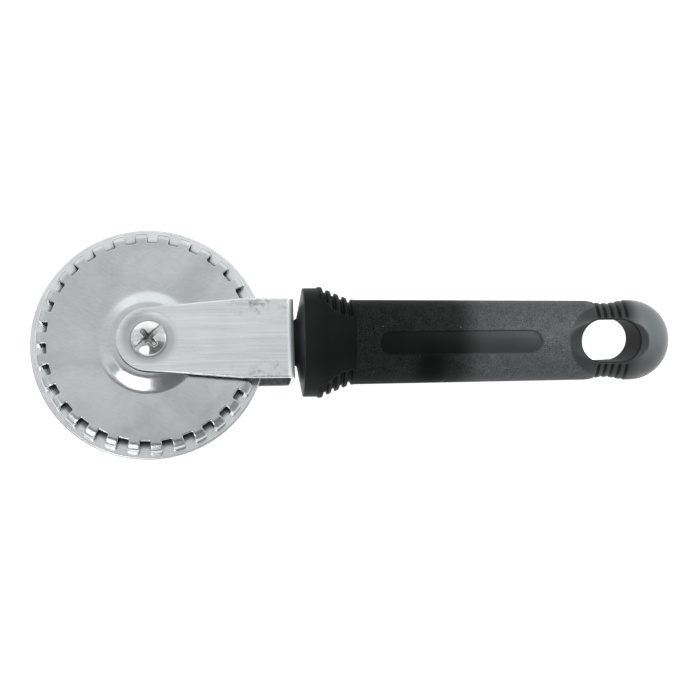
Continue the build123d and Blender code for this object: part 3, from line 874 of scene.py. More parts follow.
def sheet_face(wheel, path, normal, angles, edge):
    """Grids of a disc's outer and inner face: its section turned about the axle, out to an edge's radii."""
    inner_end = wheel.crimp_radius - wheel.notch_depth - FACE_MARGIN
    rows = path[:, 0] < inner_end
    radius, height, out = path[rows, :1], path[rows, 1:], normal[rows]
    last = inner_end + np.array(MARGIN_ROWS)[:, None] * (edge - inner_end)
    radius = np.concatenate([np.broadcast_to(radius, (len(radius), len(angles))), last])
    height = np.concatenate([height, np.full((len(last), 1), wheel.face)])
    out = np.concatenate([out, np.tile((0.0, 1.0), (len(last), 1))])
    wavy = smooth_step(radius, wheel.boss_foot_radius, wheel.boss_foot_radius + WAVE_RISE)
    wavy = wavy * smooth_step(radius, inner_end, inner_end - WAVE_FALL)
    uneven = wheel.waviness * wavy * ripple(radius * np.cos(angles), radius * np.sin(angles))
    outer = about_axle(radius, angles, height + uneven - rolled_edge(wheel, radius, angles))
    inner = about_axle(radius - wheel.sheet * out[:, :1], angles, height - wheel.sheet * out[:, 1:])
    return outer, inner


def tooth_tab(wheel, path, normal, centre, lean):
    """Grids of one tooth's outer and inner face: the rim's section carried across its width.

    Half of its angle at a radius is half a pitch less the arc sine of half the notch over that radius, so
    its sides are straight. Towards the tip its corners are drawn in along a quarter circle.
    """
    across = crowded(TOOTH_POINTS)
    bend_start, bend_end = [wheel.crimp_radius - short for short in TOOTH_BEND]
    bent = smooth_step(path[:, :1], bend_start, bend_end)
    half_width = math.pi / wheel.teeth * wheel.crimp_radius - wheel.notch_width / 2
    past = np.clip(np.abs(across) * half_width - half_width + wheel.tip_round, 0, wheel.tip_round)
    drawn = bent * (np.sqrt(wheel.tip_round**2 - past**2) - wheel.tip_round)
    grids = []
    for depth in (0.0, wheel.sheet):
        radius, height = path[:, :1] - depth * normal[:, :1], path[:, 1:] - depth * normal[:, 1:]
        angles = centre + across * (math.pi / wheel.teeth - np.arcsin(wheel.notch_width / 2 / radius))
        roll = rolled_edge(wheel, path[:, :1], angles) * (depth == 0)
        radius = radius + drawn + lean * bent - roll * normal[:, :1]
        grids.append(about_axle(radius, angles, height - roll * normal[:, 1:]))
    return grids


def crimping_disc(wheel, side):
    """Grids of a stamped disc, with the slot of each: faces, teeth, bore and the walls of its notches.

    A notch's floor rises to its sides along a quarter circle of its corner's radius.
    """
    path, normal = rim_path(wheel)
    half_pitch = math.pi / wheel.teeth
    notch_floor = wheel.crimp_radius - wheel.notch_depth
    start = notch_floor + wheel.notch_round
    half_tab = half_pitch - math.asin(wheel.notch_width / 2 / start)
    gap = (half_pitch - half_tab) * crowded(NOTCH_POINTS)
    centres = wheel.first_notch + half_pitch * (1 + 2 * np.arange(wheel.teeth))
    columns = np.concatenate([crowded(TOOTH_POINTS) * half_tab, half_pitch + gap[1:-1]])
    aside = np.clip(np.abs(start * np.sin(gap)) - wheel.notch_width / 2 + wheel.notch_round, 0, None)
    rise = wheel.notch_round - np.sqrt(np.clip(wheel.notch_round**2 - aside**2, 0, None))
    edge = np.concatenate([np.full(TOOTH_POINTS, start), notch_floor + rise[1:-1]])
    angles = np.add.outer(centres, columns).ravel()
    outer, inner = sheet_face(wheel, path, normal, angles, np.tile(edge, wheel.teeth))
    grids = [(outer, True, 0), (inner, True, 1), (np.stack([outer[0], inner[0]]), True, 1)]

    rows = path[:, 0] > start + TAB_MARGIN
    tab_path = np.concatenate([[(start, wheel.face)], path[rows]])
    tab_normal = np.concatenate([[(0.0, 1.0)], normal[rows]])
    lean = np.random.default_rng(LEAN_SEED).uniform(*LEAN_RANGE, wheel.teeth) * wheel.tooth_lean
    wall = np.stack([outer[-1], inner[-1]]).reshape(2, wheel.teeth, len(columns), 3)
    for tooth, centre in enumerate(centres):
        over, under = tooth_tab(wheel, tab_path, tab_normal, centre, lean[tooth])
        tip = np.stack([over[-1], under[-1]])
        sides = [np.stack([over[:, end], under[:, end]]) for end in (0, -1)]
        following = wall[:, (tooth + 1) % wheel.teeth, :1]
        notch = np.concatenate([wall[:, tooth, TOOTH_POINTS - 1 :], following], 1)
        grids += [(over, False, 0), (under, False, 1)]
        grids += [(grid, False, 0) for grid in (tip, *sides, notch)]
    return [(grid * (1, 1, side), closed, slot) for grid, closed, slot in grids]


class PASTRYWHEEL_OT_cutter(bpy.types.Operator):
    """Make the plain round cutter"""

    bl_idname = "pastry_wheel.cutter"
    bl_label = "Cutter Disc"

    def execute(self, context):
        path = cutter_path(context.scene.pastry_wheel)
        angles = np.linspace(0, 2 * math.pi, CUTTER_COLUMNS, endpoint=False)
        ring = about_axle(path[:, :1], angles, path[:, 1:])
        piece = surface("cutter_blade", [(ring, True, 0)], AXLE)
        install(piece, "wheel", "cutter_disc", "cutter_steel", cutter_steel(context.scene.pastry_colours))
        return {"FINISHED"}


class PASTRYWHEEL_OT_crimping_discs(bpy.types.Operator):
    """Make the two stamped discs with their teeth"""

    bl_idname = "pastry_wheel.crimping_discs"
    bl_label = "Crimping Discs"

    def execute(self, context):
        steel = stamped_steel(context.scene.pastry_colours)
        # The discs' inner faces are darkened: painted shade between the discs.
        dull = dull_steel("disc_inside", context.scene.pastry_colours.dull)
        for name, side in (("front", 1), ("rear", -1)):
            piece = surface(f"{name}_crimper", crimping_disc(context.scene.pastry_wheel, side), AXLE)
            piece.data.set_sharp_from_angle(angle=STAMPED_ANGLE)
            install(piece, "wheel", f"{name}_crimping_disc", "stamped_steel", steel, dull)
        return {"FINISHED"}


class PASTRYWHEEL_OT_hub(bpy.types.Operator):
    """Finish the hub, its spacers and the thrust washers"""

    bl_idname = "pastry_wheel.hub"
    bl_label = "Hub"

    def execute(self, context):
        colours = context.scene.pastry_colours
        turned_steel = plated_metal("hub_steel", colours.hub, roughness=0.3)
        dress(turned_steel, "hub_eyelet", "front_hub_spacer", "rear_hub_spacer")
        dress(nylon(colours), "front_thrust_washer", "rear_thrust_washer")
        return {"FINISHED"}


# Axle

# A head's rows, columns, and rows over each lip of the slot, which they cover to a multiple of its softness
HEAD_ROWS = 101
HEAD_COLUMNS = 121
LIP_ROWS = 7
LIP_REACH = 1.5
# Share of the rim's height by which the dome falls at its edge, and the shares of its radius where it does
RIM_FALL = 0.35
RIM_FALL_ENDS = (0.92, 1.02)
# The cross: share of its depth lost at an arm's end and the power of that rise, share of an arm's width that
# is floor, and softness of an arm's end as a multiple of the slot's
CROSS_RISE = 0.6
CROSS_POWER = 1.5
CROSS_FLOOR = 0.45
CROSS_END = 3
# Depths between which painted shade darkens the recesses, and the shares of the radius where it stops
RECESS_SHADE_DEPTH = (0.0007, 0.0017)
RECESS_SHADE_RIM = (0.99, 0.9)
# Free length of the barrel's bore past the screw's end
BORE_SPARE = 0.001


def axle_head(axle, steps, turn, crossed, side):
    """Grids of a domed head with a slot, and of the rim and shank under it.

    The dome is a height over chords that lie along the slot: y runs from rim to rim, and x is a share of
    the chord's half length, the root of R squared less y squared. The slot and the cross are pressed into
    it. The steps under it are the rim's loop drawn in to a radius and carried down to a depth.
    """
    radius, rise, edge = axle.head_radius, axle.head_height - axle.head_rim, axle.edge_round
    lip = np.linspace(-LIP_REACH, LIP_REACH, LIP_ROWS) * edge
    rows = [radius * crowded(HEAD_ROWS), axle.slot_width / 2 + lip, -axle.slot_width / 2 + lip]
    y = np.repeat(np.unique(np.concatenate(rows))[:, None], HEAD_COLUMNS, 1)
    x = np.linspace(-1, 1, HEAD_COLUMNS) * np.sqrt(np.clip(radius**2 - y**2, 0, None))
    away = np.hypot(x, y)
    ball = (radius**2 + rise**2) / (2 * rise)
    dome = axle.head_rim + np.sqrt(ball**2 - away**2) - (ball - rise)
    rim_start, rim_end = RIM_FALL_ENDS
    height = dome - RIM_FALL * axle.head_rim * smooth_step(away, rim_start * radius, rim_end * radius)
    slot = smooth_step(np.abs(y), axle.slot_width / 2 + edge, axle.slot_width / 2 - edge)
    height = height + (np.minimum(height, axle.head_height - axle.slot_depth) - height) * slot
    if crossed:
        height = pressed_cross(axle, x, y, height)
    recess_shade_start, recess_shade_end = RECESS_SHADE_RIM
    # Mask of painted shade in the slot and the cross.
    sunk = smooth_step(dome - height, *RECESS_SHADE_DEPTH)
    sunk = sunk * smooth_step(away, recess_shade_start * radius, recess_shade_end * radius)
    outline = np.stack([x, y, height], -1)
    rim = np.concatenate([outline[:, 0], outline[-2:0:-1, -1]])
    under = [rim] + [rim * (step / radius, step / radius, 0) + (0, 0, depth) for step, depth in steps]
    under = np.stack(under)
    spin = np.array([[math.cos(turn), math.sin(turn), 0], [-math.sin(turn), math.cos(turn), 0], [0, 0, 1]])
    place = np.array([AXLE_X, 0, side * axle.head_seat])
    mask = np.concatenate([sunk.ravel(), np.zeros(under.shape[:2]).ravel()])
    grids = ((outline, False), (under, True))
    return [(grid @ spin * (1, 1, side) + place, closed, 0) for grid, closed in grids], {"sunk": mask}


def pressed_cross(axle, x, y, height):
    """A dome's height with a cross pressed in, whose floor rises with a power of the way from the middle."""
    half_span, half_width, edge = axle.cross_span / 2, axle.cross_width / 2, axle.edge_round
    for along, aside in ((x, y), (y, x)):
        reach = np.clip(np.abs(along) / half_span, 0, 1)
        deep = axle.head_height - axle.cross_depth * (1 - CROSS_RISE * reach**CROSS_POWER)
        arm = smooth_step(np.abs(aside), half_width + edge / 2, CROSS_FLOOR * half_width)
        arm = arm * smooth_step(np.abs(along), half_span + edge, half_span - CROSS_END * edge)
        height = height + (np.minimum(height, deep) - height) * arm
    return height


class PASTRYWHEEL_OT_axle(bpy.types.Operator):
    """Make the axle's two domed heads"""

    bl_idname = "pastry_wheel.axle"
    bl_label = "Axle"

    def execute(self, context):
        axle = context.scene.pastry_axle
        plated = axle_nickel(context.scene.pastry_colours)
        seat, tip = (axle.head_radius, 0), -axle.shank_length
        shank = [seat, (axle.shank_radius, 0), (axle.shank_radius, tip), (0, tip)]
        end = -2 * axle.head_seat
        bottom = end + axle.shank_length + BORE_SPARE
        sleeve = [seat, (axle.barrel_radius, 0), (axle.barrel_radius, end)]
        sleeve += [(axle.barrel_bore, end), (axle.barrel_bore, bottom), (0, bottom)]
        halves = (
            ("axle_front", "axle_screw", 1, axle_head(axle, shank, axle.slot_angle, True, 1)),
            ("axle_rear", "axle_barrel", -1, axle_head(axle, sleeve, 0.0, False, -1)),
        )
        for name, node, side, (grids, masks) in halves:
            inside = (AXLE_X, 0, side * (axle.head_seat + axle.head_rim / 2))
            install(surface(name, grids, inside, masks), "handle", node, "axle_steel", plated)
        return {"FINISHED"}


# Fork

# Columns across the strip and longest step along it, and points on a tangent and on the round end
FORK_COLUMNS = 41
FORK_STEP = 0.0012
TANGENT_POINTS = 22
HUB_POINTS = 72
# Rings over the dish and from there to the outline, and how far they reach past the dish and the round end
DISH_RINGS = 26
OUTLINE_RINGS = 7
RING_MARGIN = 0.0004
HUB_MARGIN = 0.002


def fork_taper(fork):
    """The swing at which a tangent leaves the hub circle, and the points between which the strip tapers."""
    meet = np.array([fork.web_outer - fork.straight, fork.half_width])
    swing = math.atan2(meet[1], meet[0]) + math.acos(fork.hub_radius / np.linalg.norm(meet))
    leave = fork.hub_radius * np.array([math.cos(swing), math.sin(swing)])
    return swing, np.stack([leave, meet])


def fork_hub(fork, cut, across):
    """Grid of an arm's round end: rings about the axle, carried out to the strip's outline and dished.

    A ring's points lie on rays from the axle to the outline: the hub circle, its two tangents and the cut.
    """
    swing, taper = fork_taper(fork)
    tangent_x = np.linspace(cut, taper[0, 0], TANGENT_POINTS)[1:]
    tangent = np.stack([tangent_x, np.interp(tangent_x, *taper.T)], -1)
    arc = np.linspace(swing, 2 * math.pi - swing, HUB_POINTS)[1:-1]
    round_end = fork.hub_radius * np.stack([np.cos(arc), np.sin(arc)], -1)
    cut_line = np.stack([np.full_like(across, cut), across * np.interp(cut, *taper.T)], -1)
    loop = np.concatenate([cut_line, tangent, round_end, tangent[::-1] * (1, -1)])
    ray = loop / np.linalg.norm(loop, axis=1, keepdims=True)
    ring_end = fork.dish_rim + RING_MARGIN
    rings = np.linspace(fork.hole, ring_end, DISH_RINGS)[:, None, None] * ray
    share = np.linspace(0, 1, OUTLINE_RINGS)[1:, None, None]
    plan = np.concatenate([rings, ring_end * ray * (1 - share) + loop * share])
    dish = 1 - smooth_step(np.linalg.norm(plan, axis=-1), fork.dish_floor, fork.dish_rim)
    height = fork.arm_outer - fork.dish_depth * dish
    return np.concatenate([plan + (AXLE_X, 0), height[..., None]], -1)


def fork_strip(fork, cut, across):
    """Grid of the strip from arm to arm: its bent section carried across a width that tapers to the hub."""
    corners = [(cut, fork.arm_outer), (fork.web_outer, fork.arm_outer)]
    corners += [(x, -z) for x, z in reversed(corners)]
    path = rounded_path(corners, [fork.bend, fork.bend], FORK_STEP)
    half = np.interp(path[:, 0], *fork_taper(fork)[1].T)[:, None]
    return np.stack(np.broadcast_arrays(AXLE_X + path[:, :1], across * half, path[:, 1:]), -1)


class PASTRYWHEEL_OT_fork(bpy.types.Operator):
    """Make the bent fork"""

    bl_idname = "pastry_wheel.fork"
    bl_label = "Fork"

    def execute(self, context):
        fork, colours = context.scene.pastry_fork, context.scene.pastry_colours
        cut = fork.hub_radius + HUB_MARGIN
        across = np.linspace(-1, 1, FORK_COLUMNS)
        hub = fork_hub(fork, cut, across)
        patches = [(hub, True, 0), (fork_strip(fork, cut, across), False, 0), (hub * (1, 1, -1), True, 0)]
        piece = surface("fork_strip", patches, (AXLE_X + cut, 0, 0))
        thicken(piece, fork.sheet)
        break_edges(piece, fork.edge_break, slot=2)
        # The strip's inner face is darkened: painted shade inside the fork.
        inside = dull_steel("fork_inside", colours.inside)
        # Pale edges: a painted highlight along the strip's edges.
        edge_highlight = plated_metal("fork_edge", colours.edge, roughness=0.24)
        install(piece, "handle", "fork", "fork_steel", fork_steel(colours), inside, edge_highlight)
        return {"FINISHED"}


class PASTRYWHEEL_OT_fastening(bpy.types.Operator):
    """Finish the screw, washer and insert that hold the fork"""

    bl_idname = "pastry_wheel.fastening"
    bl_label = "Fork Fastening"

    def execute(self, context):
        colours = context.scene.pastry_colours
        zinc = plated_metal("screw_zinc", colours.zinc, roughness=0.22)
        brass = plated_metal("insert_brass", colours.brass, roughness=0.26)
        dress(zinc, "fork_screw", "fork_spring_washer")
        dress(brass, "threaded_insert")
        return {"FINISHED"}


# Handle

# Columns over the front half and over each edge of the panel, which lies between two angles
GRIP_COLUMNS = 85
PANEL_COLUMNS = 9
PANEL_SWING = (0.255, 0.32)
# Longest steps along the profile, on plain skin, on ribs and panel ends, and on the panel's round ends
GRIP_STEP = 0.00015
PLAIN_STEP = 0.0012
FINE_STEP = 0.0002
ROUND_STEP = 0.0003
# Where the finer steps lie, from the flare's end and from the panel's ends
FLARE_PAST = 0.0015
PANEL_END = 0.001
PANEL_ROUND_MIDDLE = 0.0025
PANEL_ROUND_HALF = 0.0018
# The first rows, which all stay, and the length left free before the cut
COLLAR_ROWS = 60
CUT_MARGIN = 0.0001
# The end's outline: points before and behind the ribs and on the round end, and step and margin at the ribs
BEFORE_RIBS = 24
BEHIND_RIBS = 8
CAP_POINTS = 49
RIB_STEP = 0.00013
RIB_MARGIN = 0.0008
# The band round the hang hole: rows over the skin, the rim's round and the wall, the skin left before the
# bevel, and the softness of the bevel's outer edge
DISH_ROWS = 34
FILLET_ROWS = 8
WALL_ROWS = 22
HOLE_MARGIN = 0.0018
DISH_BLEND = 0.0003
# The collar: depth and draft of the recess for the nose, where the outside starts, the rounds from recess to
# grip, and the length over which the lip rises
COLLAR_RECESS = 0.001
COLLAR_DRAFT = 0.00005
COLLAR_OUTSIDE = 0.0004
COLLAR_ROUNDS = (0.0001, 0.00002, 0.0003, 0.0015, 0.009)
LIP_RUN = 0.0008
# Ribs: half widths of a groove's lip and floor as shares of its width, and the softness of the grooves' ends
GROOVE_LIP = 0.68
GROOVE_FLOOR = 0.3
RIB_EDGE = 0.00025
# The shield: how far it runs past the flare's end, how much longer than the flare it is, the length over
# which it rises behind the collar, and the distances past the flare between which it falls
SHIELD_PAST = 0.001
SHIELD_REACH = 0.0017
SHIELD_RUN = 0.001
SHIELD_FALL = (0.0012, 0.0007)
# Distances from the panel's edge between which its wall falls, and the least half width for an inset's share
PANEL_WALL = (0.0002, -0.0003)
LEAST_HALF = 0.001
# The core's columns, longest step and rounds
CORE_COLUMNS = 160
CORE_STEP = 0.0008
NOSE_ROUNDS = (0.0003, 0.0006)
BAR_ROUND = 0.00005


def about_handle(grid, turn):
    """A grid turned about the handle's axis."""
    x, y, z = np.moveaxis(grid, -1, 0)
    cosine, sine = math.cos(turn), math.sin(turn)
    return np.stack([x, y * cosine - z * sine, y * sine + z * cosine], -1)


class GripForm:
    """The grip's skin: an oval section along a profile, with ribs, panel and dished hang hole pressed in."""

    def __init__(self, handle):
        self.handle = handle
        h = handle
        self.collar_front = GRIP_LOW.x
        self.collar_back = self.collar_front + h.collar_length
        self.flare_end = self.collar_back + h.flare_length
        self.waist_start = self.flare_end + h.grip_length
        self.waist_floor = self.waist_start + h.waist_slope
        self.waist_rise = self.waist_floor + h.waist_length
        self.waist_end = self.waist_rise + h.waist_slope
        self.end_centre = self.waist_end + h.end_straight
        self.hole_x = self.end_centre + h.end_radius - h.hole_setback
        self.panel_x = self.flare_end + h.panel_setback + h.panel_length / 2
        self.first_rear = self.waist_start + h.rear_inset
        self.last_rear = self.first_rear + h.rear_pitch * (h.rear_grooves - 1)
        self.cut = self.hole_x - h.hole_length / 2 - h.dish_width - HOLE_MARGIN
        recess = self.collar_front + COLLAR_RECESS
        corners = [
            (recess, 0.0),
            (recess, h.nose_radius),
            (self.collar_front, h.nose_radius + COLLAR_DRAFT),
            (self.collar_front, h.collar_radius),
            (self.collar_back, h.collar_radius),
            (self.flare_end, h.front_radius),
            (self.waist_start, h.rear_radius),
            (self.waist_floor, h.waist_radius),
            (self.waist_rise, h.waist_radius),
            (self.waist_end, h.end_radius),
            (self.end_centre, h.end_radius),
        ]
        self.profile = rounded_path(corners, [*COLLAR_ROUNDS] + [h.waist_round] * 4, GRIP_STEP)

    def half_width(self, x):
        """Half width at a place along the handle: the profile, then the circle of the round end."""
        body = self.profile[self.profile[:, 0] > self.collar_front + COLLAR_OUTSIDE]
        end = np.sqrt(np.clip(self.handle.end_radius**2 - (x - self.end_centre) ** 2, 0, None))
        return np.where(x > self.end_centre, end, np.interp(x, body[:, 0], body[:, 1]))

    def grooves(self, x, start, pitch, number, width):
        """1 in the floors of a row of grooves and 0 on the ribs between, with round lips."""
        away = np.abs(x - start - pitch * np.clip(np.round((x - start) / pitch), 0, number - 1))
        return smooth_step(away, GROOVE_LIP * width, GROOVE_FLOOR * width)

    def rear_ribs(self, x):
        """1 in the floors of the waist's grooves."""
        h = self.handle
        return self.grooves(x, self.first_rear, h.rear_pitch, h.rear_grooves, h.rear_width)

    def slot_distance(self, x, y, middle, full_length, full_width):
        """Distance outside a round-ended slot's edge, less than 0 inside it."""
        reach = (full_length - full_width) / 2
        past = np.clip(np.abs(x - middle) - reach, 0, None)
        return np.hypot(past, y) - full_width / 2

    def from_hole(self, x, y):
        """Distance outside the hang hole's edge."""
        return self.slot_distance(x, y, self.hole_x, self.handle.hole_length, self.handle.hole_width)

    def from_panel(self, x, y):
        """Distance outside the panel's edge."""
        return self.slot_distance(x, y, self.panel_x, self.handle.panel_length, self.handle.panel_width)

    def inset(self, x, y, front):
        """How far the skin is pressed in: ribs at both ends, the panel in front, less the collar's lip.

        The shield's half width grows from its narrow end towards the collar along a quarter ellipse.
        """
        h = self.handle
        y = np.abs(y)
        ahead = np.clip((self.flare_end + SHIELD_PAST - x) / (h.flare_length + SHIELD_REACH), 0, 1)
        shield = h.collar_radius + h.lip_height
        shield = shield - (shield - h.shield_half) * np.sqrt(1 - ahead**2)
        first = self.collar_back + h.front_width / 2
        ribs = self.grooves(x, first, h.front_pitch, h.front_grooves, h.front_width)
        beside = smooth_step(y, shield - RIB_EDGE, shield + RIB_EDGE)
        raised = (1 - beside) * smooth_step(x, self.collar_back, self.collar_back + SHIELD_RUN)
        shield_foot, shield_top = [self.flare_end + past for past in SHIELD_FALL]
        raised = raised * smooth_step(x, shield_foot, shield_top)
        pressed = h.front_depth * ribs * beside - h.shield_rise * raised
        rear = self.rear_ribs(x) * smooth_step(y, h.rear_stop - RIB_EDGE, h.rear_stop + RIB_EDGE)
        pressed = pressed + h.rear_depth * rear
        pressed = pressed + front * h.panel_depth * smooth_step(self.from_panel(x, y), *PANEL_WALL)
        lip = smooth_step(np.abs(x - self.collar_back + h.lip_width / 2), h.lip_width / 2, h.lip_width / 4)
        return pressed - h.lip_height * lip * smooth_step(y, h.lip_start, h.lip_start + LIP_RUN)

    def skin(self, x, y, high, half):
        """Points of the pressed skin from points of the plain oval section."""
        scale = 1 - self.inset(x, y, high > 0) / np.maximum(half, LEAST_HALF)
        return np.stack([x, y * scale, high * scale], -1)

    def body(self, swing):
        """Grid of the handle from the collar to the cut: the profile turned about X and flattened."""
        rows = self.profile[self.profile[:, 0] < self.cut - CUT_MARGIN]
        keep = np.concatenate([[True], np.diff(np.floor(self.row_number(rows))) > 0])
        keep[:COLLAR_ROWS] = True
        rows = np.concatenate([rows[keep], [[self.cut, self.half_width(self.cut)]]])
        around = np.concatenate([swing, math.pi - swing[-2:0:-1]])
        half = rows[:, 1:]
        x = np.broadcast_to(rows[:, :1], (len(rows), len(around)))
        return self.skin(x, half * np.sin(around), self.handle.flatness * half * np.cos(around), half)

    def row_number(self, rows):
        """A count that grows with the skin's length, faster where ribs and panel ends need more rows."""
        x = rows[:, 0]
        step = np.full(len(rows), PLAIN_STEP)
        step[x < self.flare_end + FLARE_PAST] = FINE_STEP
        for way in (-1, 1):
            end = self.panel_x + way * self.handle.panel_length / 2
            step[np.abs(x - end) < PANEL_END] = FINE_STEP
            step[np.abs(x - end + way * PANEL_ROUND_MIDDLE) < PANEL_ROUND_HALF] = ROUND_STEP
        pieces = np.linalg.norm(np.diff(rows, axis=0), axis=1) / step[1:]
        return np.concatenate([[0], np.cumsum(pieces)])

    def end_outline(self, swing):
        """The end's outline, once round: its two sides, the round end and the cut across the handle."""
        h = self.handle
        fine = np.arange(self.first_rear - RIB_MARGIN, self.last_rear + RIB_MARGIN, RIB_STEP)
        before = np.linspace(self.cut, fine[0], BEFORE_RIBS)[:-1]
        behind = np.linspace(fine[-1], self.end_centre, BEHIND_RIBS)[1:]
        side_x = np.concatenate([before, fine, behind])
        side = np.stack([side_x, self.half_width(side_x)], -1)
        cap = np.linspace(math.pi / 2, 0, CAP_POINTS)[1:]
        round_end = np.stack([self.end_centre + h.end_radius * np.cos(cap), h.end_radius * np.sin(cap)], -1)
        edge = np.concatenate([side, round_end])
        cut_line = np.stack([np.full_like(swing, self.cut), self.half_width(self.cut) * np.sin(swing)], -1)
        return np.concatenate([edge * (1, -1), edge[-2::-1], cut_line[-2:0:-1]])

    def end(self, swing):
        """Grid of the handle's end as a band round the hang hole.

        The band's rows run from the outline in to the hole's rim in front, through the hole, and out again
        behind. A row's points lie on rays square to the hole's round-ended slot.
        """
        h = self.handle
        loop = self.end_outline(swing)
        reach = (h.hole_length - h.hole_width) / 2
        spine_x = np.clip(loop[:, 0], self.hole_x - reach, self.hole_x + reach)
        spine = np.stack([spine_x, np.zeros(len(loop))], -1)
        ray = (loop - spine) / np.linalg.norm(loop - spine, axis=1, keepdims=True)
        rim = spine + ray * (h.hole_width / 2 + h.hole_round)
        share = (1 - np.cos(np.linspace(0, math.pi / 2, DISH_ROWS)))[:, None, None]
        plan = loop * (1 - share) + rim * share
        x, y = plan[..., 0], plan[..., 1]
        half = self.half_width(x)
        high = h.flatness * np.sqrt(np.clip(half**2 - y**2, 0, None))
        top = self.skin(x, y, high, half)
        dish = h.end_radius * h.flatness - h.dish_depth * (1 - self.from_hole(x, y) / h.dish_width)
        top[..., 2] = np.maximum(soft_min(top[..., 2], dish, DISH_BLEND), 0) * (high > 0)
        turn = np.linspace(0, math.pi / 2, FILLET_ROWS)[1:, None, None]
        drop = top[-1:, :, 2:] - h.hole_round * (1 - np.cos(turn))
        fillet = np.concatenate([rim - ray * h.hole_round * np.sin(turn), drop], -1)
        front = np.concatenate([top, fillet])
        wall_share = np.linspace(1, -1, WALL_ROWS)[1:-1, None, None]
        wall = fillet[-1:] * np.concatenate([np.ones_like(wall_share)] * 2 + [wall_share], -1)
        return np.concatenate([front, wall, front[::-1] * (1, 1, -1)])

    def rubbed(self, x, y):
        """1 in the middle of one oval patch beside the panel, a painted shadow, where the grain is left out.
        """
        back, below, slimness = 0.009, 0.008, 0.6
        edge, middle = 0.0070, 0.0015
        return smooth_step(np.hypot(x - self.panel_x + back, slimness * (y + below)), edge, middle)

    def grained(self, points):
        """1 where the skin is grained: from shield to waist, but not in the panel or on the patch of painted
        shadow.
        """
        shield_end, grain_start = self.flare_end + 0.0008, self.flare_end + 0.0012
        grain_end, ribs_start = self.first_rear - 0.0012, self.first_rear - 0.0002
        hole_soft, panel_soft = 0.0004, (-0.0002, 0.0001)
        x, y, z = np.moveaxis(points, -1, 0)
        zone = smooth_step(x, shield_end, grain_start) * smooth_step(x, ribs_start, grain_end)
        dish = self.handle.dish_width
        zone = zone * smooth_step(self.from_hole(x, y), dish - hole_soft, dish) * (1 - self.rubbed(x, y))
        return zone * np.where(z > 0, smooth_step(self.from_panel(x, y), *panel_soft), 1.0)

    def worn(self, points):
        """1 on the half towards the hang hole and a little on the collar, greyed partly by handling and
        partly as painted light on both.
        """
        fade_start, fade_end = self.panel_x - 0.002, self.panel_x + 0.008
        # The collar's share is painted light.
        collar_x = (self.collar_front + 0.002, self.collar_back, self.flare_end, self.flare_end + 0.001)
        collar_lit = (0.26, 0.1, 0.06, 0.0)
        x = points[..., 0]
        return np.maximum(np.interp(x, collar_x, collar_lit), smooth_step(x, fade_start, fade_end))

    def dusty(self, points):
        """1 on the handle's round end where its skin isn't pressed in, partly bloom and partly painted
        light, and less towards the near edge, a painted shade.
        """
        start, full = self.last_rear + 0.0004, self.last_rear + 0.005
        near_edge, middle, near_share = -0.01, 0.003, 0.4
        pressed_soft = (0.0002, 0.00005)
        x, y, z = np.moveaxis(points, -1, 0)
        high = np.sqrt(np.clip(self.half_width(x) ** 2 - y**2, 0, None))
        pressed = self.handle.flatness * high - np.abs(z)
        # Painted shade: the round end is less pale towards the near edge, away from the light.
        zone = near_share + (1 - near_share) * smooth_step(y, near_edge, middle)
        return smooth_step(x, start, full) * zone * smooth_step(pressed, *pressed_soft)

    def sunk(self, points):
        """Painted shade: in the rear grooves, the hang hole and the patch beside the panel."""
        in_ribs, in_hole, in_patch = 0.75, 0.85, 0.7
        rib_soft, hole_soft = 0.0002, 0.0004
        x, y, _ = np.moveaxis(points, -1, 0)
        stop = self.handle.rear_stop
        ribs = self.rear_ribs(x) * smooth_step(np.abs(y), stop - rib_soft, stop + rib_soft)
        hidden = np.maximum(in_ribs * ribs, in_hole * smooth_step(self.from_hole(x, y), hole_soft, 0.0))
        return np.maximum(hidden, in_patch * self.rubbed(x, y))


def core_path(handle):
    """Section of the core: a nose that flares from the fork to the collar, and a bar with lock rings."""
    collar = GRIP_LOW.x
    bar = collar + handle.core_flange + handle.core_neck
    corners = [
        (CORE_LOW.x, 0.0),
        (CORE_LOW.x, handle.nose_seat),
        (CORE_LOW.x + handle.nose_neck, handle.nose_seat),
        (collar, handle.nose_radius),
        (collar + handle.core_flange, handle.core_flange_radius),
        (bar, handle.core_front),
    ]
    crest = handle.core_front + handle.lock_height
    for middle in np.linspace(bar, CORE_HIGH.x, handle.lock_rings + 2)[1:-1]:
        radius = np.interp(middle, [bar, CORE_HIGH.x], [handle.core_front, handle.core_rear])
        front, back = middle - handle.lock_width / 2, middle + handle.lock_width / 2
        corners += [(front, radius), (front, crest), (back, crest), (back, radius)]
    corners += [(CORE_HIGH.x, handle.core_rear), (CORE_HIGH.x, 0.0)]
    rounds = [*NOSE_ROUNDS] + [BAR_ROUND] * (len(corners) - 2 - len(NOSE_ROUNDS))
    return rounded_path(corners, rounds, CORE_STEP)


class PASTRYWHEEL_OT_handle_core(bpy.types.Operator):
    """Make the rigid core, which shows as the nose"""

    bl_idname = "pastry_wheel.handle_core"
    bl_label = "Handle Core"

    def execute(self, context):
        handle = context.scene.pastry_handle
        path = core_path(handle)
        around = np.linspace(0, 2 * math.pi, CORE_COLUMNS, endpoint=False)
        along, half = path[:, :1], path[:, 1:]
        grid = np.broadcast_arrays(along, half * np.sin(around), handle.flatness * half * np.cos(around))
        grid = about_handle(np.stack(grid, -1), handle.turn)
        piece = surface("handle_nose", [(grid, True, 0)], (GRIP_LOW.x, 0, 0))
        install(piece, "handle", "handle_core", "core_plastic", core_plastic(context.scene.pastry_colours))
        return {"FINISHED"}


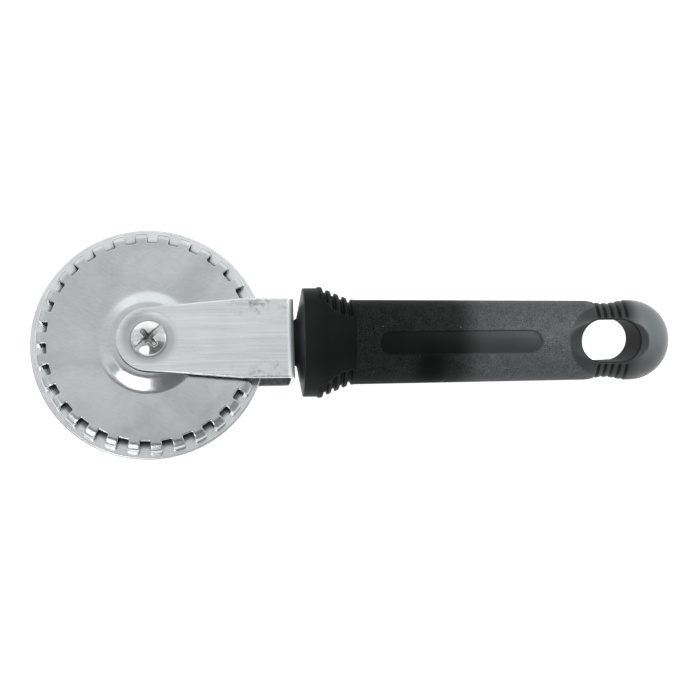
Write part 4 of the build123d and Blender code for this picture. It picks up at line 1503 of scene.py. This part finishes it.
class PASTRYWHEEL_OT_grip(bpy.types.Operator):
    """Make the soft grip"""

    bl_idname = "pastry_wheel.grip"
    bl_label = "Grip"

    def execute(self, context):
        handle = context.scene.pastry_handle
        form = GripForm(handle)
        around = np.linspace(-math.pi / 2, math.pi / 2, GRIP_COLUMNS)
        panel_edge = np.linspace(*PANEL_SWING, PANEL_COLUMNS)
        swing = np.unique([*around, *panel_edge, *-panel_edge])
        grids = (form.body(swing), form.end(swing))
        masks = {}
        for mask in (form.grained, form.worn, form.dusty, form.sunk):
            masks[mask.__name__] = np.concatenate([mask(grid).ravel() for grid in grids])
        patches = [(about_handle(grid, handle.turn), True, 0) for grid in grids]
        piece = surface("soft_grip", patches, (form.panel_x, 0, 0), masks)
        install(piece, "handle", "grip", "grip_rubber", grip_rubber(context.scene.pastry_colours))
        return {"FINISHED"}


# Stage

SENSOR_WIDTH = 36.0


def hang_light(light, place, target):
    """Puts a light in its place, facing a target."""
    lamp = bpy.data.objects.new(light.name, light)
    lamp.location = place
    lamp.rotation_euler = (Vector(target) - Vector(place)).to_track_quat("-Z", "Y").to_euler()
    bpy.context.scene.collection.objects.link(lamp)


def soft_lights(stage):
    """Soft rectangular panels. One that has no target of its own faces straight down."""
    for name in ("panel", "behind", "left", "key", "right", "side", "near"):
        light = bpy.data.lights.new(name, "AREA")
        light.shape = "RECTANGLE"
        light.size, light.size_y = getattr(stage, f"{name}_size")
        light.energy = getattr(stage, f"{name}_power")
        place = getattr(stage, f"{name}_place")
        hang_light(light, place, getattr(stage, f"{name}_target", (place[0], place[1], 0.0)))


def beam_light(stage):
    """A narrow light with a soft edge."""
    light = bpy.data.lights.new("beam", "SPOT")
    light.energy = stage.beam_power
    light.spot_size = stage.beam_cone
    light.spot_blend = stage.beam_blend
    light.shadow_soft_size = stage.beam_radius
    hang_light(light, stage.beam_place, stage.beam_target)


def studio_world(stage):
    """Pale surroundings, like a tent round the tool: brightest low down and dim overhead."""
    world = bpy.data.worlds.new("studio_world")
    world.use_nodes = True
    nodes, links = world.node_tree.nodes, world.node_tree.links
    direction = nodes.new("ShaderNodeTexCoord")
    axes = nodes.new("ShaderNodeSeparateXYZ")
    fade = nodes.new("ShaderNodeMapRange")
    fade.inputs["From Min"].default_value = stage.world_start
    fade.inputs["From Max"].default_value = stage.world_end
    fade.inputs["To Min"].default_value = stage.world_low
    fade.inputs["To Max"].default_value = stage.world_high
    background = nodes["Background"]
    background.inputs["Color"].default_value = (1.0, 1.0, 1.0, 1.0)
    links.new(direction.outputs["Generated"], axes.inputs["Vector"])
    links.new(axes.outputs["Z"], fade.inputs["Value"])
    links.new(fade.outputs["Result"], background.inputs["Strength"])
    bpy.context.scene.world = world


def studio_floor(stage):
    """Pale floor under the tool, lifted to white for the camera, with the tool's shadow on it."""
    level = cad_box[0].z
    corner = np.array([-stage.floor_size / 2, stage.floor_size / 2])
    x, y = np.meshgrid(corner, corner, indexing="ij")
    grid = np.stack([x, y, np.full_like(x, level)], -1)
    floor = surface("studio_floor", [(grid, False, 0)], (0, 0, level - 1))
    finish = Finish("studio_floor")
    path = finish.add("ShaderNodeLightPath").outputs
    mirrored = finish.math("MAXIMUM", path["Is Glossy Ray"], path["Is Transmission Ray"])
    seen = finish.math("MAXIMUM", path["Is Camera Ray"], mirrored)
    finish.set(
        Base_Color=shade(stage.floor_colour, 1.0),
        Roughness=0.9,
        Specular_IOR_Level=0.0,
        Emission_Color=(1.0, 1.0, 1.0, 1.0),
        Emission_Strength=finish.ramp(seen, 0.0, 1.0, 0.0, stage.floor_lift),
    )
    floor.data.materials.append(finish.material)


def studio_camera(stage):
    """A camera above the handle that leans towards its near edge and faces the target."""
    camera = bpy.data.objects.new("camera", bpy.data.cameras.new("camera"))
    camera.data.lens = stage.lens
    camera.data.sensor_width = SENSOR_WIDTH
    lean = stage.camera_height * math.tan(stage.camera_pitch)
    target = Vector((stage.target_x, stage.target_y, 0.0))
    camera.location = (stage.camera_foot, stage.target_y - lean, stage.camera_height)
    back = (camera.location - target).normalized()
    right = Vector((0, 1, 0)).cross(back).normalized()
    upright = Matrix((right, back.cross(right), back)).transposed()
    camera.rotation_euler = (upright @ Matrix.Rotation(stage.camera_roll, 3, "Z")).to_euler()
    bpy.context.scene.collection.objects.link(camera)
    bpy.context.scene.camera = camera


class PASTRYWHEEL_OT_stage(bpy.types.Operator):
    """Make the floor, the lights and the camera"""

    bl_idname = "pastry_wheel.stage"
    bl_label = "Stage"

    def execute(self, context):
        stage = context.scene.pastry_stage
        context.scene.view_settings.view_transform = "Standard"
        studio_world(stage)
        studio_floor(stage)
        soft_lights(stage)
        beam_light(stage)
        studio_camera(stage)
        return {"FINISHED"}


# Panel and registration


OPERATORS = (
    PASTRYWHEEL_OT_stage,
    PASTRYWHEEL_OT_cutter,
    PASTRYWHEEL_OT_crimping_discs,
    PASTRYWHEEL_OT_hub,
    PASTRYWHEEL_OT_axle,
    PASTRYWHEEL_OT_fork,
    PASTRYWHEEL_OT_fastening,
    PASTRYWHEEL_OT_handle_core,
    PASTRYWHEEL_OT_grip,
)
SETTINGS = {
    "pastry_wheel": WheelSizes,
    "pastry_axle": AxleSizes,
    "pastry_fork": ForkSizes,
    "pastry_handle": HandleSizes,
    "pastry_colours": FinishColours,
    "pastry_stage": StageSizes,
}


class PASTRYWHEEL_PT_sidebar(bpy.types.Panel):
    """Sizes, colours and pieces of the pastry wheel"""

    bl_idname = "PASTRYWHEEL_PT_sidebar"
    bl_label = "Pastry Wheel"
    bl_space_type = "VIEW_3D"
    bl_region_type = "UI"
    bl_category = "Pastry Wheel"

    def draw(self, context):
        for operator in OPERATORS:
            self.layout.operator(operator.bl_idname)
        for name, group in SETTINGS.items():
            box = self.layout.box()
            box.label(text=group.__doc__)
            for setting in group.__annotations__:
                box.prop(getattr(context.scene, name), setting)


def register():
    for group in SETTINGS.values():
        bpy.utils.register_class(group)
    for operator in OPERATORS:
        bpy.utils.register_class(operator)
    bpy.utils.register_class(PASTRYWHEEL_PT_sidebar)
    for name, group in SETTINGS.items():
        setattr(bpy.types.Scene, name, bpy.props.PointerProperty(type=group))


def unregister():
    for name in SETTINGS:
        delattr(bpy.types.Scene, name)
    bpy.utils.unregister_class(PASTRYWHEEL_PT_sidebar)
    for operator in reversed(OPERATORS):
        bpy.utils.unregister_class(operator)
    for group in reversed(SETTINGS.values()):
        bpy.utils.unregister_class(group)


def main():
    register()
    bpy.ops.pastry_wheel.stage()
    bpy.ops.pastry_wheel.cutter()
    bpy.ops.pastry_wheel.crimping_discs()
    bpy.ops.pastry_wheel.hub()
    bpy.ops.pastry_wheel.axle()
    bpy.ops.pastry_wheel.fork()
    bpy.ops.pastry_wheel.fastening()
    bpy.ops.pastry_wheel.handle_core()
    bpy.ops.pastry_wheel.grip()


if __name__ == "__main__":
    main()
